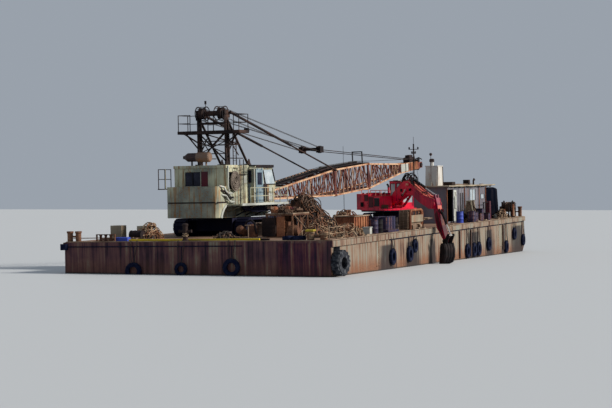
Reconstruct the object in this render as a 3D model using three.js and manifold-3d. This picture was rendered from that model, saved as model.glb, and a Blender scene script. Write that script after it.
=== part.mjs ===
// Flat dredging pontoon with a crawler crane, a tracked excavator and a deckhouse.
// Every size here is the real vessel's, in millimetres. The root group's scale makes it a 1:2 model.
// +X runs from the near end to the far end, +Y from the working side to port, +Z up.
import * as THREE from 'three';
import { mergeVertices } from 'three/addons/utils/BufferGeometryUtils.js';
import Module from 'manifold-3d';

const wasm = await Module();
wasm.setup();

const MODEL_SCALE = 1 / 2;
const GAP = 0.8; // between two pieces that touch
const RUNNING_GAP = 12; // between a moving piece and what it passes
const DEG = Math.PI / 180;

// Pontoon
const HULL_LENGTH = 55100;
const HULL_WIDTH = 16850;
const HULL_DEPTH = 4000;
const RAKE_LENGTH = 2200;
const RAKE_HEIGHT = 1600;
const STRAKE_PROUD = 110;
const STRAKE_HEIGHT = 340;
const HATCHES = [[24000, 13600], [33500, 13600]];
const HATCH = 600;

// Crane: slew centre on deck, heading from +X, and the heights above the deck
const CRANE_AT = [11900, 10600];
const CRANE_HEADING = -7 * DEG;
const CRANE_TRACK = { length: 6400, height: 1150, width: 850, gauge: 4500, shoes: 46, shoe: 60, link: 50 };
const BED_BOTTOM = 1200;
const BED_TOP = 1960;
const WALK_TOP = 2040;
const HOUSE_TOP = 4500;
const HOUSE_SIDES = [-1820, 1930];
const HOUSE_REAR = -4150;
const HOUSE_FRONT = -1200;
const GANTRY_HALF = 1000;
const GANTRY_REAR = -2600;
const GANTRY_TOP = 7890;
const GANTRY_SHEAVES = -2570;
const PLATFORM_SIDES = [-2330, 2150];
const PLATFORM_HEIGHT = 6700;
const BOOM_FOOT = [1900, 0, 2400];
const BOOM_ANGLE = 4.2 * DEG;
const BOOM_JOINTS = [12190, 18290, 30480]; // ends of base, insert and tip along the boom
const BOOM_HALF_WIDTH = 950;
const BOOM_HALF_DEPTH = 925;
const CHORD = 110;
const LACING = 60;
const HEAD_START = 26000; // where the lattice meets the plated head
const HEAD_HALF = [350, 370]; // half width and half depth there
const SHEAVE_AXLE = 60;
const PIN_RADIUS = 40;
const PENDANT_PIN = [29900, 430]; // along the boom and across it
const SPREADER = [12100, 5700]; // x and z in the crane's own frame
const SPREADER_HALF = 695;
const BACKSTOP_FOOT = [-2100, 7950];
const BACKSTOP_SIDE = 1110;

// Excavator: slew centre on deck and the working heading of its house
const DIGGER_AT = [27800, 4200];
const DIGGER_HEADING = -133 * DEG;
const DIGGER_TRACK = { length: 4700, height: 1050, width: 600, gauge: 2700, shoes: 36, shoe: 50, link: 45 };
const DIGGER_BED = 1200;
const DIGGER_ARM_SIDE = -40; // middle of boom and stick, beside the cab
const ARM_FOOT = [150, 1750];
const ARM_END = [6010, 1620];
const STICK_END = [7200, -920];

// Deckhouse at the far end
const HOUSE_U = [34500, 47800];
const HOUSE_V = [1800, 5500];
const HOUSE_H = 2800;
const ROOF_END = 50600;
const SHELTER_END = 52800;
const DOOR_U = [36750, 37750];
const DOOR_TOP = 2550;

const COLOURS = {
  hull: [0x8d7b6c, 0.85, 0.2],
  rubber: [0x23242b, 0.9, 0.0],
  gear: [0x5d4638, 0.8, 0.3],
  cream: [0xd8d0b8, 0.7, 0.1],
  lilac: [0x8d8b93, 0.7, 0.1],
  white: [0xdfe3e0, 0.6, 0.0],
  tarp: [0x17181f, 0.8, 0.0],
  funnel: [0x76767d, 0.6, 0.2],
  dark: [0x2d2622, 0.7, 0.4],
  crane: [0xb5b4a2, 0.65, 0.2],
  boom: [0x8a4a34, 0.8, 0.3],
  red: [0xb01e22, 0.5, 0.2],
  black: [0x1c1b1e, 0.6, 0.3],
  steel: [0x9a9a98, 0.35, 0.8],
  timber: [0xa98c62, 0.85, 0.0],
};

const materials = {};
for (const [name, [color, roughness, metalness]] of Object.entries(COLOURS)) {
  materials[name] = new THREE.MeshStandardMaterial({ color, roughness, metalness });
}

const vec = (x, y, z) => new THREE.Vector3(x, y, z);

// Closed solid from a geometry: shared corners merged, slivers dropped, faces turned outwards.
function solid(geometry) {
  const bare = geometry.clone();
  for (const name of Object.keys(bare.attributes)) {
    if (name !== 'position') bare.deleteAttribute(name);
  }
  const merged = mergeVertices(bare, 0.01);
  const points = merged.attributes.position.array;
  const source = merged.index.array;
  const corner = (i) => vec(points[3 * i], points[3 * i + 1], points[3 * i + 2]);
  const triangles = [];
  let volume = 0;
  for (let i = 0; i < source.length; i += 3) {
    const [a, b, c] = [source[i], source[i + 1], source[i + 2]];
    if (a === b || b === c || c === a) continue;
    triangles.push(a, b, c);
    volume += corner(a).dot(corner(b).cross(corner(c)));
  }
  const facing = volume < 0 ? triangles.reverse() : triangles;
  return new wasm.Manifold(new wasm.Mesh({
    numProp: 3,
    vertProperties: new Float32Array(points),
    triVerts: new Uint32Array(facing),
  }));
}

const join = (pieces) => pieces.reduce((whole, piece) => whole.add(piece));
const cut = (body, tools) => tools.reduce((rest, tool) => rest.subtract(tool), body);

function box(x0, x1, y0, y1, z0, z1) {
  const geometry = new THREE.BoxGeometry(x1 - x0, y1 - y0, z1 - z0);
  geometry.translate((x0 + x1) / 2, (y0 + y1) / 2, (z0 + z1) / 2);
  return solid(geometry);
}

// Turns a geometry that runs along its own Z so that it runs from a to b.
function place(geometry, a, b) {
  const along = b.clone().sub(a).normalize();
  const level = Math.abs(along.z) > 0.999 ? vec(0, 1, 0) : vec(0, 0, 1);
  const side = level.clone().cross(along).normalize();
  const up = along.clone().cross(side);
  geometry.applyMatrix4(new THREE.Matrix4().makeBasis(side, up, along).setPosition(a));
  return solid(geometry);
}

function bar(from, to, width, height = width) {
  const [a, b] = [vec(...from), vec(...to)];
  const geometry = new THREE.BoxGeometry(width, height, a.distanceTo(b));
  geometry.translate(0, 0, a.distanceTo(b) / 2);
  return place(geometry, a, b);
}

function tube(from, to, radius, sides = 8) {
  const [a, b] = [vec(...from), vec(...to)];
  const geometry = new THREE.CylinderGeometry(radius, radius, a.distanceTo(b), sides);
  geometry.rotateX(Math.PI / 2);
  geometry.translate(0, 0, a.distanceTo(b) / 2);
  return place(geometry, a, b);
}

function outline(points, holes = []) {
  const shape = new THREE.Shape(points.map(([x, y]) => new THREE.Vector2(x, y)));
  for (const hole of holes) {
    shape.holes.push(new THREE.Path(hole.map(([x, y]) => new THREE.Vector2(x, y))));
  }
  return shape;
}

const drawn = (shape, depth) => new THREE.ExtrudeGeometry(shape, { depth, bevelEnabled: false });

// Outline given in X and Z, drawn out from y0 to y1.
function prismY(points, y0, y1, holes = []) {
  const geometry = drawn(outline(points, holes), y1 - y0);
  geometry.rotateX(Math.PI / 2);
  geometry.translate(0, y1, 0);
  return solid(geometry);
}

// Outline given in Y and Z, drawn out from x0 to x1.
function prismX(points, x0, x1) {
  const geometry = drawn(outline(points), x1 - x0);
  geometry.applyMatrix4(new THREE.Matrix4().makeBasis(vec(0, 1, 0), vec(0, 0, 1), vec(1, 0, 0)));
  geometry.translate(x0, 0, 0);
  return solid(geometry);
}

function prismZ(points, z0, z1) {
  const geometry = drawn(outline(points), z1 - z0);
  geometry.translate(0, 0, z0);
  return solid(geometry);
}

// Body of revolution about the line through `at` along X, Y or Z.
// The profile lists radius, then distance along.
function turned(profile, axis, at, segments = 12) {
  const points = profile.map(([r, h]) => new THREE.Vector2(r, h));
  const geometry = new THREE.LatheGeometry(points, segments);
  if (axis === 'x') geometry.rotateZ(-Math.PI / 2);
  if (axis === 'z') geometry.rotateX(Math.PI / 2);
  geometry.translate(...at);
  return solid(geometry);
}

function part(group, name, material, pieces) {
  const body = join(Array.isArray(pieces) ? pieces : [pieces]);
  const { vertProperties, triVerts } = body.getMesh();
  const geometry = new THREE.BufferGeometry();
  geometry.setAttribute('position', new THREE.BufferAttribute(new Float32Array(vertProperties), 3));
  geometry.setIndex(new THREE.BufferAttribute(new Uint32Array(triVerts), 1));
  geometry.computeVertexNormals();
  const mesh = new THREE.Mesh(geometry, materials[material]);
  mesh.name = name;
  group.add(mesh);
  return mesh;
}

function groupAt(parent, position, heading = 0) {
  const group = new THREE.Group();
  group.position.set(...position);
  group.rotation.z = heading;
  parent.add(group);
  return group;
}

const dredger = new THREE.Group();
dredger.scale.setScalar(MODEL_SCALE);
const vessel = groupAt(dredger, [-HULL_LENGTH / 2, -HULL_WIDTH / 2, 0]);
const deck = groupAt(vessel, [0, 0, HULL_DEPTH + GAP]);

// Worn tyre: outer and inner radius, width; its middle is at `at`.
function tyre(axis, at, outer, inner, width, segments = 12) {
  const half = width / 2;
  const shoulder = outer - 0.14 * outer;
  return turned([
    [inner, -0.6 * half], [shoulder, -half], [outer, -0.55 * half],
    [outer, 0.55 * half], [shoulder, half], [inner, 0.6 * half], [inner, -0.6 * half],
  ], axis, at, segments);
}

function makeHull() {
  const profile = [
    [RAKE_LENGTH, 0], [HULL_LENGTH - RAKE_LENGTH, 0], [HULL_LENGTH, RAKE_HEIGHT],
    [HULL_LENGTH, HULL_DEPTH], [0, HULL_DEPTH], [0, RAKE_HEIGHT],
  ];
  const strakeTop = HULL_DEPTH - 20;
  part(vessel, 'hull', 'hull', [
    prismY(profile, 0, HULL_WIDTH),
    box(0, HULL_LENGTH, -STRAKE_PROUD, HULL_WIDTH + STRAKE_PROUD, strakeTop - STRAKE_HEIGHT, strakeTop),
    box(-30, 50, 480, 3200, 1750, strakeTop - 120), // doubling plate on the near end
    tube([-45, 3060, 1750], [-45, 3060, strakeTop - 120], 45),
    // Raised covers of two tank hatches on the open side of the deck
    ...HATCHES.map(([u, v]) => (
      box(u - HATCH, u + HATCH, v - HATCH, v + HATCH, HULL_DEPTH - 5, HULL_DEPTH + 60)
    )),
    // Posts down the working side
    ...[30900, 34500, 46100].map((u) => box(u - 110, u + 110, -STRAKE_PROUD, 50, 1500, 3540)),
  ]);
}

function makeFenders() {
  // Tyres on the near end: place along Y, height of the middle, outer radius
  const railHeight = 3720;
  const endRail = 30 + GAP;
  const pieces = [tube([-endRail, 5400, railHeight], [-endRail, 16680, railHeight], 30, 6)];
  for (const [v, z, outer] of [[12300, 2270, 525], [9240, 2390, 400], [6060, 2480, 535]]) {
    const width = 260;
    pieces.push(tyre('x', [-width / 2 - GAP, v, z], outer, 0.52 * outer, width));
    pieces.push(bar([-endRail, v, z + 0.8 * outer], [-endRail, v, railHeight], 36));
  }
  // Rubber block at the port corner
  pieces.push(prismZ([
    [-GAP, 16640], [-GAP, 17090], [-130, 17090], [-210, 16990], [-210, 16720], [-130, 16640],
  ], 3530, 3900));
  part(vessel, 'end_fenders', 'rubber', pieces);

  // Tyres on the working side: place along X, height of the middle, outer radius
  const sideRail = 3590;
  const side = [tube([12100, -endRail, sideRail], [54500, -endRail, sideRail], 30, 6)];
  const rows = [
    [12500, 2490, 540], [16650, 2480, 540], [17950, 2960, 460], [33200, 1950, 560], [35300, 1950, 560],
    [36900, 1950, 560], [40500, 2180, 540], [47000, 1700, 520], [50350, 2660, 520], [54000, 2000, 500],
  ];
  for (const [u, z, outer] of rows) {
    const width = 240;
    side.push(tyre('y', [u, -width / 2 - GAP, z], outer, 0.55 * outer, width, 10));
    side.push(bar([u, -endRail, z + 0.8 * outer], [u, -endRail, sideRail], 36));
  }
  part(vessel, 'side_fenders', 'rubber', side);

  // Large lugged tyre at the near corner, turned a little towards the near end
  const [u, z, rim, root, tip, width, lugs] = [560, 2700, 350, 690, 760, 480, 16];
  const [turn, off] = [-12, 400]; // degrees about the vertical, and the middle's distance from the hull
  const point = (radius, share) => {
    const angle = 2 * Math.PI * share;
    return [radius * Math.cos(angle), radius * Math.sin(angle)];
  };
  const ring = (radius) => Array.from({ length: 16 }, (_, i) => point(radius, i / 16));
  const tread = [];
  for (let i = 0; i < lugs; i++) {
    for (const [share, radius] of [[0, root], [0.12, tip], [0.5, tip], [0.62, root]]) {
      tread.push(point(radius, (i + share) / lugs));
    }
  }
  const body = join([
    prismY(tread, -width / 2 + 20, width / 2 - 20, [ring(rim + 60)]),
    prismY(ring(root - 60), -width / 2 - 20, width / 2 + 20, [ring(rim)]),
  ]);
  const big = [
    body.rotate([0, 0, turn]).translate([u, -off, z]),
    box(u - 40, u + 40, -off + 40, -GAP, z + 500, 3640 - GAP),
  ];
  part(vessel, 'corner_tyre', 'rubber', big);
}

function makeBitts() {
  // Name, middle along X and Y, whether the pair stands along Y, half the spacing, radius and height
  const rows = [
    ['bitts_near_port', 400, HULL_WIDTH - 450, true, 275, 170, 650],
    ['bitts_near_working', 450, 950, true, 400, 215, 520],
    ['bitts_far_port', HULL_LENGTH - 800, HULL_WIDTH - 900, false, 450, 165, 800],
    ['bitts_far_working', HULL_LENGTH - 500, 600, true, 350, 165, 900],
  ];
  for (const [name, u, v, alongY, half, radius, height] of rows) {
    const group = groupAt(deck, [u, v, 0], alongY ? 0 : Math.PI / 2);
    const cap = radius + 35;
    const post = [
      [0, 0], [radius, 0], [radius, height - 140], [cap, height - 105], [cap, height], [0, height],
    ];
    part(group, name, 'gear', [
      box(-240, 240, -half - cap - 20, half + Math.min(cap + 20, 440 - half), 0, 40),
      turned(post, 'z', [0, -half, 0], 12),
      turned(post, 'z', [0, half, 0], 12),
      tube([0, -half, 0.5 * height], [0, half, 0.5 * height], 55, 6),
    ]);
  }
  const roller = [[0, 40], [110, 50], [80, 150], [80, 330], [120, 430], [0, 440]];
  const lead = groupAt(deck, [380, 14300, 0]);
  part(lead, 'fairlead_port', 'gear', [
    box(-220, 220, -620, 620, 0, 60),
    turned(roller, 'z', [0, -330, 0], 8),
    turned(roller, 'z', [0, 0, 0], 8),
    turned(roller, 'z', [0, 330, 0], 8),
    box(-60, 60, -620, 620, 420, 460),
    box(-60, 60, -620, -560, 50, 430),
    box(-60, 60, 560, 620, 50, 430),
  ]);
}

function makeDeckhouse() {
  const wall = 80;
  const [u0, u1] = HOUSE_U;
  const [v0, v1] = HOUSE_V;
  const shell = cut(box(u0, u1, v0, v1, 0, HOUSE_H), [
    box(u0 + wall, u1 - wall, v0 + wall, v1 - wall, wall, HOUSE_H + 1),
    box(34640, 36600, v0 - 1, v0 + wall + 1, 120, 2600), // open porch by the near corner
    box(...DOOR_U, v0 - 1, v0 + wall + 1, 120, DOOR_TOP), // doorway
    box(42300, 44200, v0 - 1, v0 + wall + 1, 1660, 2550),
    box(46200, 47400, v0 - 1, v0 + wall + 1, 1750, 2100),
    box(u0 - 1, u0 + wall + 1, 2500, 3400, 1250, 2100),
    box(36000, 37200, v1 - wall - 1, v1 + 1, 1250, 2100),
    box(39500, 40700, v1 - wall - 1, v1 + 1, 1250, 2100),
    box(43000, 44200, v1 - wall - 1, v1 + 1, 1250, 2100),
    box(u1 - wall - 1, u1 + 1, 3000, 4200, 1250, 2100),
  ]);
  const hinge = [DOOR_U[0] + 6, v0 - 21];
  part(deck, 'deckhouse_walls', 'lilac', [
    shell,
    ...[[440 + GAP, 500], [1780, 1840 - GAP]].flatMap(([a, b]) => [
      tube([...hinge, a], [...hinge, b], 18),
      box(DOOR_U[0] - 60, hinge[0], v0 - 25, v0 + 3, a, b),
    ]),
  ]);

  const staff = [36100, 3400];
  const ball = [[0, 5230], [90, 5260], [125, 5350], [90, 5440], [0, 5470]];
  part(deck, 'deckhouse_roof', 'cream', [
    box(u0 - 250, ROOF_END, v0 - 220, v1 + 220, HOUSE_H + GAP, HOUSE_H + 100),
    tube([...staff, HOUSE_H + 50], [...staff, 5300], 22, 6),
    turned(ball, 'z', [...staff, 0], 10),
  ]);

  const swing = RUNNING_GAP;
  part(deck, 'deckhouse_door', 'white', [
    box(DOOR_U[0] + swing, DOOR_U[1] - swing, v0, v0 + 50, 120 + swing, DOOR_TOP - swing),
    box(DOOR_U[1] - 170, DOOR_U[1] - 50, v0 - 40, v0 + 10, 1080, 1140),
    ...[[380, 440], [1840, 1900]].flatMap(([a, b]) => [
      tube([...hinge, a], [...hinge, b], 18),
      box(hinge[0], hinge[0] + 64, v0 - 25, v0 + 3, a, b),
    ]),
  ]);

  // Tarpaulin lean-to behind the deckhouse, open towards the far end
  const skin = 40;
  const tent = (grow) => [
    [v0 + grow, 0], [v0 + grow, 2500 - grow], [v0 + 300, 2640 - grow], [4900, 2660 - grow],
    [5300 - grow, 2500 - grow], [5300 - grow, 0],
  ];
  part(deck, 'shelter', 'tarp', cut(prismX(tent(0), u1 + 65, SHELTER_END), [
    prismX(tent(skin).map(([y, z]) => [y, z === 0 ? -1 : z]), u1 + 65 + skin, SHELTER_END + 1),
  ]));

  // Funnel casing, tapered towards its top
  const roof = HOUSE_H + 100 + GAP;
  part(deck, 'funnel', 'funnel', [
    prismY([[36500, roof], [38650, roof], [38350, roof + 1570], [36700, roof + 1570]], 3050, 3980),
    box(36660, 38390, 3010, 4020, roof + 1500, roof + 1570),
    tube([37250, 3620, roof + 1540], [37250, 3620, roof + 1870], 150),
  ]);

  const mast = [36000, 4750];
  part(deck, 'mast', 'dark', [
    box(35850, 36150, 4600, 4900, roof, roof + 30),
    tube([...mast, roof + 20], [...mast, 6200], 55, 6),
    bar([36000, 4570, 5450], [36000, 4930, 5450], 50),
    bar([36000, 4350, 5770], [36000, 5150, 5770], 45),
  ]);
}

// Winch with its drum's shaft along Y: half length, heights of the drum's centre and of the frame's top,
// flange and core radius
function makeWinch(prefix, at, heading, half, height, top, flange, core) {
  const group = groupAt(deck, at, heading);
  const cheek = 60;
  const frame = [box(-flange - 150, flange + 150, -half - 330, half + 330, 0, 70)];
  for (const side of [-1, 1]) {
    const y = side > 0 ? half : -half - cheek;
    frame.push(prismY([
      [-flange - 40, 60], [flange + 40, 60], [0.7 * core, top], [-0.7 * core, top],
    ], y, y + cheek));
  }
  frame.push(box(-260, 260, half + cheek - 5, half + 310, 60, height + 60));
  part(group, `${prefix}_frame`, 'gear', frame);
  const edge = half - GAP;
  part(group, `${prefix}_drum`, 'dark', turned([
    [0, -edge], [core * 0.6, -edge], [core * 0.6, -edge + 20], [flange, -edge + 20], [flange, -edge + 70],
    [core, -edge + 70], [core, edge - 70], [flange, edge - 70], [flange, edge - 20],
    [core * 0.6, edge - 20], [core * 0.6, edge], [0, edge],
  ], 'y', [0, 0, height], 12));
}

function makeDeckGear() {
  makeWinch('winch', [38900, 980, 0], Math.PI / 2, 420, 760, 1620, 480, 230);
  makeWinch('windlass', [53300, 1000, 0], 0, 420, 890, 1250, 560, 280);

  // Steel table with a pump set below it
  const table = groupAt(deck, [7100, 5100, 0]);
  const legs = [];
  for (const x of [-1420, 0, 1420]) {
    for (const y of [-820, 820]) {
      legs.push(box(x - 45, x + 45, y - 45, y + 45, 0, 1360));
    }
  }
  part(table, 'machinery_platform', 'gear', [
    box(-1500, 1500, -900, 900, 1340, 1420), ...legs,
    box(-1460, 1460, -860, 860, 0, 60),
    box(-1200, -200, -500, 500, 50, 950),
    box(250, 1250, -560, 420, 50, 1345),
    tube([-250, 0, 500], [300, 0, 500], 160, 8),
  ]);

  // Heap of old wire rope and chain: rings of uneven radius
  const heapAt = [17780, 8150];
  const heapSize = [1620, 2600];
  const heapHeight = 2200;
  const lean = -420; // the top's shift towards the working side
  const tailSweep = 5900; // the crane's counterweight passes over within this radius
  const underTail = 1120;
  const rings = 6;
  const spokes = 14;
  const positions = [0, 0, 0];
  const faces = [];
  for (let ring = 0; ring <= rings; ring++) {
    const level = ring / rings;
    for (let i = 0; i < spokes; i++) {
      const turn = (2 * Math.PI * i) / spokes;
      const uneven = 1 + 0.08 * Math.sin(3 * turn + ring) + 0.05 * Math.sin(5 * turn - 2 * ring);
      const share = uneven * (0.98 - 0.8 * level ** 1.15);
      const lift = 1 + (ring === 0 ? 0 : 0.05 * Math.sin(4 * turn + 1.7 * ring));
      const x = heapSize[0] * share * Math.cos(turn);
      const y = heapSize[1] * share * Math.sin(turn) + lean * level;
      const fromCrane = Math.hypot(heapAt[0] + x - CRANE_AT[0], heapAt[1] + y - CRANE_AT[1]);
      const z = heapHeight * 0.93 * level * lift;
      positions.push(x, y, fromCrane < tailSweep ? Math.min(z, underTail * (0.94 + 0.06 * level)) : z);
    }
  }
  const peak = positions.length / 3;
  positions.push(0, lean, heapHeight);
  const vertex = (ring, i) => 1 + ring * spokes + (i % spokes);
  for (let i = 0; i < spokes; i++) {
    faces.push(0, vertex(0, i + 1), vertex(0, i));
    for (let ring = 0; ring < rings; ring++) {
      faces.push(vertex(ring, i), vertex(ring, i + 1), vertex(ring + 1, i));
      faces.push(vertex(ring, i + 1), vertex(ring + 1, i + 1), vertex(ring + 1, i));
    }
    faces.push(vertex(rings, i), vertex(rings, i + 1), peak);
  }
  const heap = new THREE.BufferGeometry();
  heap.setAttribute('position', new THREE.BufferAttribute(new Float32Array(positions), 3));
  heap.setIndex(faces);
  part(groupAt(deck, [...heapAt, 0]), 'wire_heap', 'gear', solid(heap));

  // Drums on a pallet
  const pallet = groupAt(deck, [15300, 1250, 0]);
  const drum = [[0, 130], [290, 130], [290, 1010], [0, 1010]];
  const drums = [box(-1250, 1250, -650, 650, 0, 140)];
  for (const x of [-850, -200, 450]) {
    for (const y of [-310, 310]) {
      drums.push(turned(drum, 'z', [x + 150, y, 0], 10));
    }
  }
  part(pallet, 'drum_pallet', 'funnel', drums);

  // Timber crate with a board leaning on it
  part(groupAt(deck, [21300, 1080, 0]), 'crate', 'timber', [
    box(-1650, 1650, -280, 280, 0, 1250),
    box(-1700, 1700, -330, 330, 80, 180),
    box(-1700, 1700, -330, 330, 1080, 1180),
    box(-1500, 1600, -250, 250, 1240, 1310),
  ]);

  // Two boxes on one skid
  part(groupAt(deck, [5700, 14900, 0]), 'deck_boxes', 'cream', [
    box(-420, 420, -1150, 1480, 0, 90),
    box(-340, 340, -1040, -380, 80, 800),
    box(-380, 380, 675, 1425, 80, 840),
  ]);
}

// Closed track: shoes and gaps in the outer line, a smooth line inside. Its lowest point is at z = 0.
function trackOutlines({ length, height, shoes, shoe, link }) {
  const radius = height / 2;
  const straight = length - height;
  const around = 2 * straight + 2 * Math.PI * radius;
  const at = (distance, inset) => {
    const r = radius - inset;
    let d = ((distance % around) + around) % around;
    if (d < straight) return [-straight / 2 + d, radius - r];
    d -= straight;
    if (d < Math.PI * radius) {
      const turn = d / radius;
      return [straight / 2 + r * Math.sin(turn), radius - r * Math.cos(turn)];
    }
    d -= Math.PI * radius;
    if (d < straight) return [straight / 2 - d, radius + r];
    const turn = (d - straight) / radius;
    return [-straight / 2 - r * Math.sin(turn), radius + r * Math.cos(turn)];
  };
  const outer = [];
  const pitch = around / shoes;
  for (let i = 0; i < shoes; i++) {
    const start = i * pitch;
    outer.push(at(start, shoe), at(start + 0.1 * pitch, 0));
    outer.push(at(start + 0.78 * pitch, 0), at(start + 0.88 * pitch, shoe));
  }
  const inner = [];
  const depth = shoe + link;
  const steps = 10;
  for (const side of [1, -1]) {
    for (let i = 0; i <= steps; i++) {
      const turn = (Math.PI * i) / steps;
      const r = radius - depth;
      inner.push([side * (straight / 2 + r * Math.sin(turn)), radius - side * r * Math.cos(turn)]);
    }
  }
  return { outer, inner, inside: radius - depth, straight, radius };
}

function makeTracks(group, prefix, track) {
  const { outer, inner } = trackOutlines(track);
  for (const [side, sign] of [['left', 1], ['right', -1]]) {
    const middle = (sign * track.gauge) / 2;
    const shoes = prismY(outer, middle - track.width / 2, middle + track.width / 2, [inner]);
    part(group, `${prefix}_track_${side}`, 'dark', shoes);
  }
}

// Side frame with its end wheels and rollers in one outline, which fills the track's loop
function trackFrame(track, sign) {
  const { inside, straight, radius } = trackOutlines(track);
  const half = track.width / 2 - 90;
  const middle = (sign * track.gauge) / 2;
  const wheel = 0.985 * inside - GAP;
  const points = [];
  for (const end of [-1, 1]) {
    const start = end < 0 ? 30 : 210;
    for (let i = 0; i <= 12; i++) {
      const angle = (start + 25 * i) * DEG;
      points.push([(end * straight) / 2 + wheel * Math.cos(angle), radius + wheel * Math.sin(angle)]);
    }
    if (end > 0) break;
    const rollers = 6;
    const size = 0.3 * inside;
    const [low, floor] = [radius - 0.5 * wheel, radius - inside + GAP];
    for (let i = 0; i < rollers; i++) {
      const x = straight * (-0.36 + (0.72 * i) / (rollers - 1));
      points.push([x - size, low], [x - 0.6 * size, floor], [x + 0.6 * size, floor], [x + size, low]);
    }
  }
  return prismY(points, middle - half, middle + half);
}

function makeCraneCarrier() {
  const carrier = groupAt(deck, [...CRANE_AT, 0], CRANE_HEADING);
  makeTracks(carrier, 'crane', CRANE_TRACK);
  part(carrier, 'crane_undercarriage', 'dark', [
    trackFrame(CRANE_TRACK, 1), trackFrame(CRANE_TRACK, -1),
    box(-1250, 1250, -1500, 1500, 320, 980),
    box(-900, -400, -2200, 2200, 380, 880),
    box(400, 900, -2200, 2200, 380, 880),
    tube([0, 0, 960], [0, 0, BED_BOTTOM - GAP], 1200, 24),
  ]);
}

function railing(points, foot, height, size = 42) {
  const pieces = points.map(([x, y]) => bar([x, y, foot - 20], [x, y, foot + height], size));
  for (let i = 1; i < points.length; i++) {
    for (const level of [0.5, 1]) {
      const z = foot + height * level - size / 2;
      pieces.push(bar([...points[i - 1], z], [...points[i], z], size));
    }
  }
  return pieces;
}

function makeCraneHouse(upper) {
  const engine = { x: [-3600, -1500], y: [-700, 700], top: 3250 };
  const lug = 75;
  const bed = [
    box(HOUSE_REAR, 2250, -1450, 1450, BED_BOTTOM, BED_TOP + 5),
    box(HOUSE_REAR, 2450, -2900, 1900, BED_TOP, WALK_TOP),
    box(...engine.x, ...engine.y, BED_TOP, engine.top), // diesel engine and hoist gear as one block
  ];
  for (const side of [-1, 1]) {
    const inner = side * (BOOM_HALF_WIDTH - CHORD / 2 - GAP);
    const outer = inner - side * lug;
    bed.push(prismY([
      [1450, WALK_TOP - 20], [2250, WALK_TOP - 20], [2050, 2560], [1750, 2560],
    ], Math.min(inner, outer), Math.max(inner, outer)));
  }
  const walk = [-2900, -1850, -800, 250, 1300, 2400].map((x) => [x, -2860]);
  bed.push(...railing(walk, WALK_TOP, 1050));
  // Brackets under the walkway
  for (const x of [-3600, -1600, 400, 2200]) {
    bed.push(prismY([[x, 1500], [x + 60, 1500], [x + 60, BED_TOP + 5], [x, BED_TOP + 5]], -1500, -1440));
    bed.push(bar([x + 30, -1460, 1540], [x + 30, -2700, BED_TOP + 10], 60));
  }
  part(upper, 'crane_bed', 'crane', bed);

  // Two stacked slabs with cut rear corners; the lower one is hollowed at its front lower edge
  const [right, left] = HOUSE_SIDES;
  const plan = (inset) => [
    [HOUSE_REAR - GAP, right + inset], [HOUSE_REAR - GAP, left - 30 - inset],
    [-5170 + inset, left - 30 - inset], [-5350 + inset, left - 190],
    [-5350 + inset, right + 160], [-5170 + inset, right + inset],
  ];
  const hollow = [
    [-4980, 1229], [-4860, 1500], [-4640, 1800], [-4350, 2010], [HOUSE_REAR, 2080], [HOUSE_REAR, 1229],
  ];
  part(upper, 'crane_counterweight', 'crane', [
    cut(prismZ(plan(0), 1230, 2165), [
      prismY(hollow, right - 1, -1450 - GAP), prismY(hollow, 1450 + GAP, left + 1),
    ]),
    prismZ(plan(25), 2150, 2200), prismZ(plan(0), 2185, 3200),
  ]);

  const wall = 70;
  const base = WALK_TOP + GAP;
  const plan2 = (t) => [
    [HOUSE_REAR + t, right + t], [HOUSE_FRONT - t, right + t], [HOUSE_FRONT - t, -950 + t],
    [900 - t, -950 + t], [900 - t, left - t], [HOUSE_REAR + t, left - t],
  ];
  const shell = cut(prismZ(plan2(0), base, HOUSE_TOP), [
    prismZ(plan2(wall), base - 1, HOUSE_TOP - wall),
    box(HOUSE_REAR - 1, HOUSE_REAR + wall + 1, 30, 1150, 3230, 4130),
    box(-3850, -2600, right - 1, right + wall + 1, 3000, 4100),
    box(-3600, -2400, left - wall - 1, left + 1, 2600, 3800),
    box(-1700, -500, left - wall - 1, left + 1, 2600, 3800),
  ]);
  const porch = [[-5200, 2500], [-4400, 2500], [-3640, 2500]];
  part(upper, 'crane_house', 'crane', [
    shell,
    prismZ(plan2(-40), HOUSE_TOP - 60, HOUSE_TOP),
    box(-5250, -3600, left + 12, 2540, 3040, 3100),
    box(HOUSE_REAR + 10, -3600, left - 10, left + 20, 3040, 3100),
    ...railing(porch, 3100, 1250),
    ...railing([[-5200, left + 60], [-5200, 2500]], 3100, 1250),
  ]);
}

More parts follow.
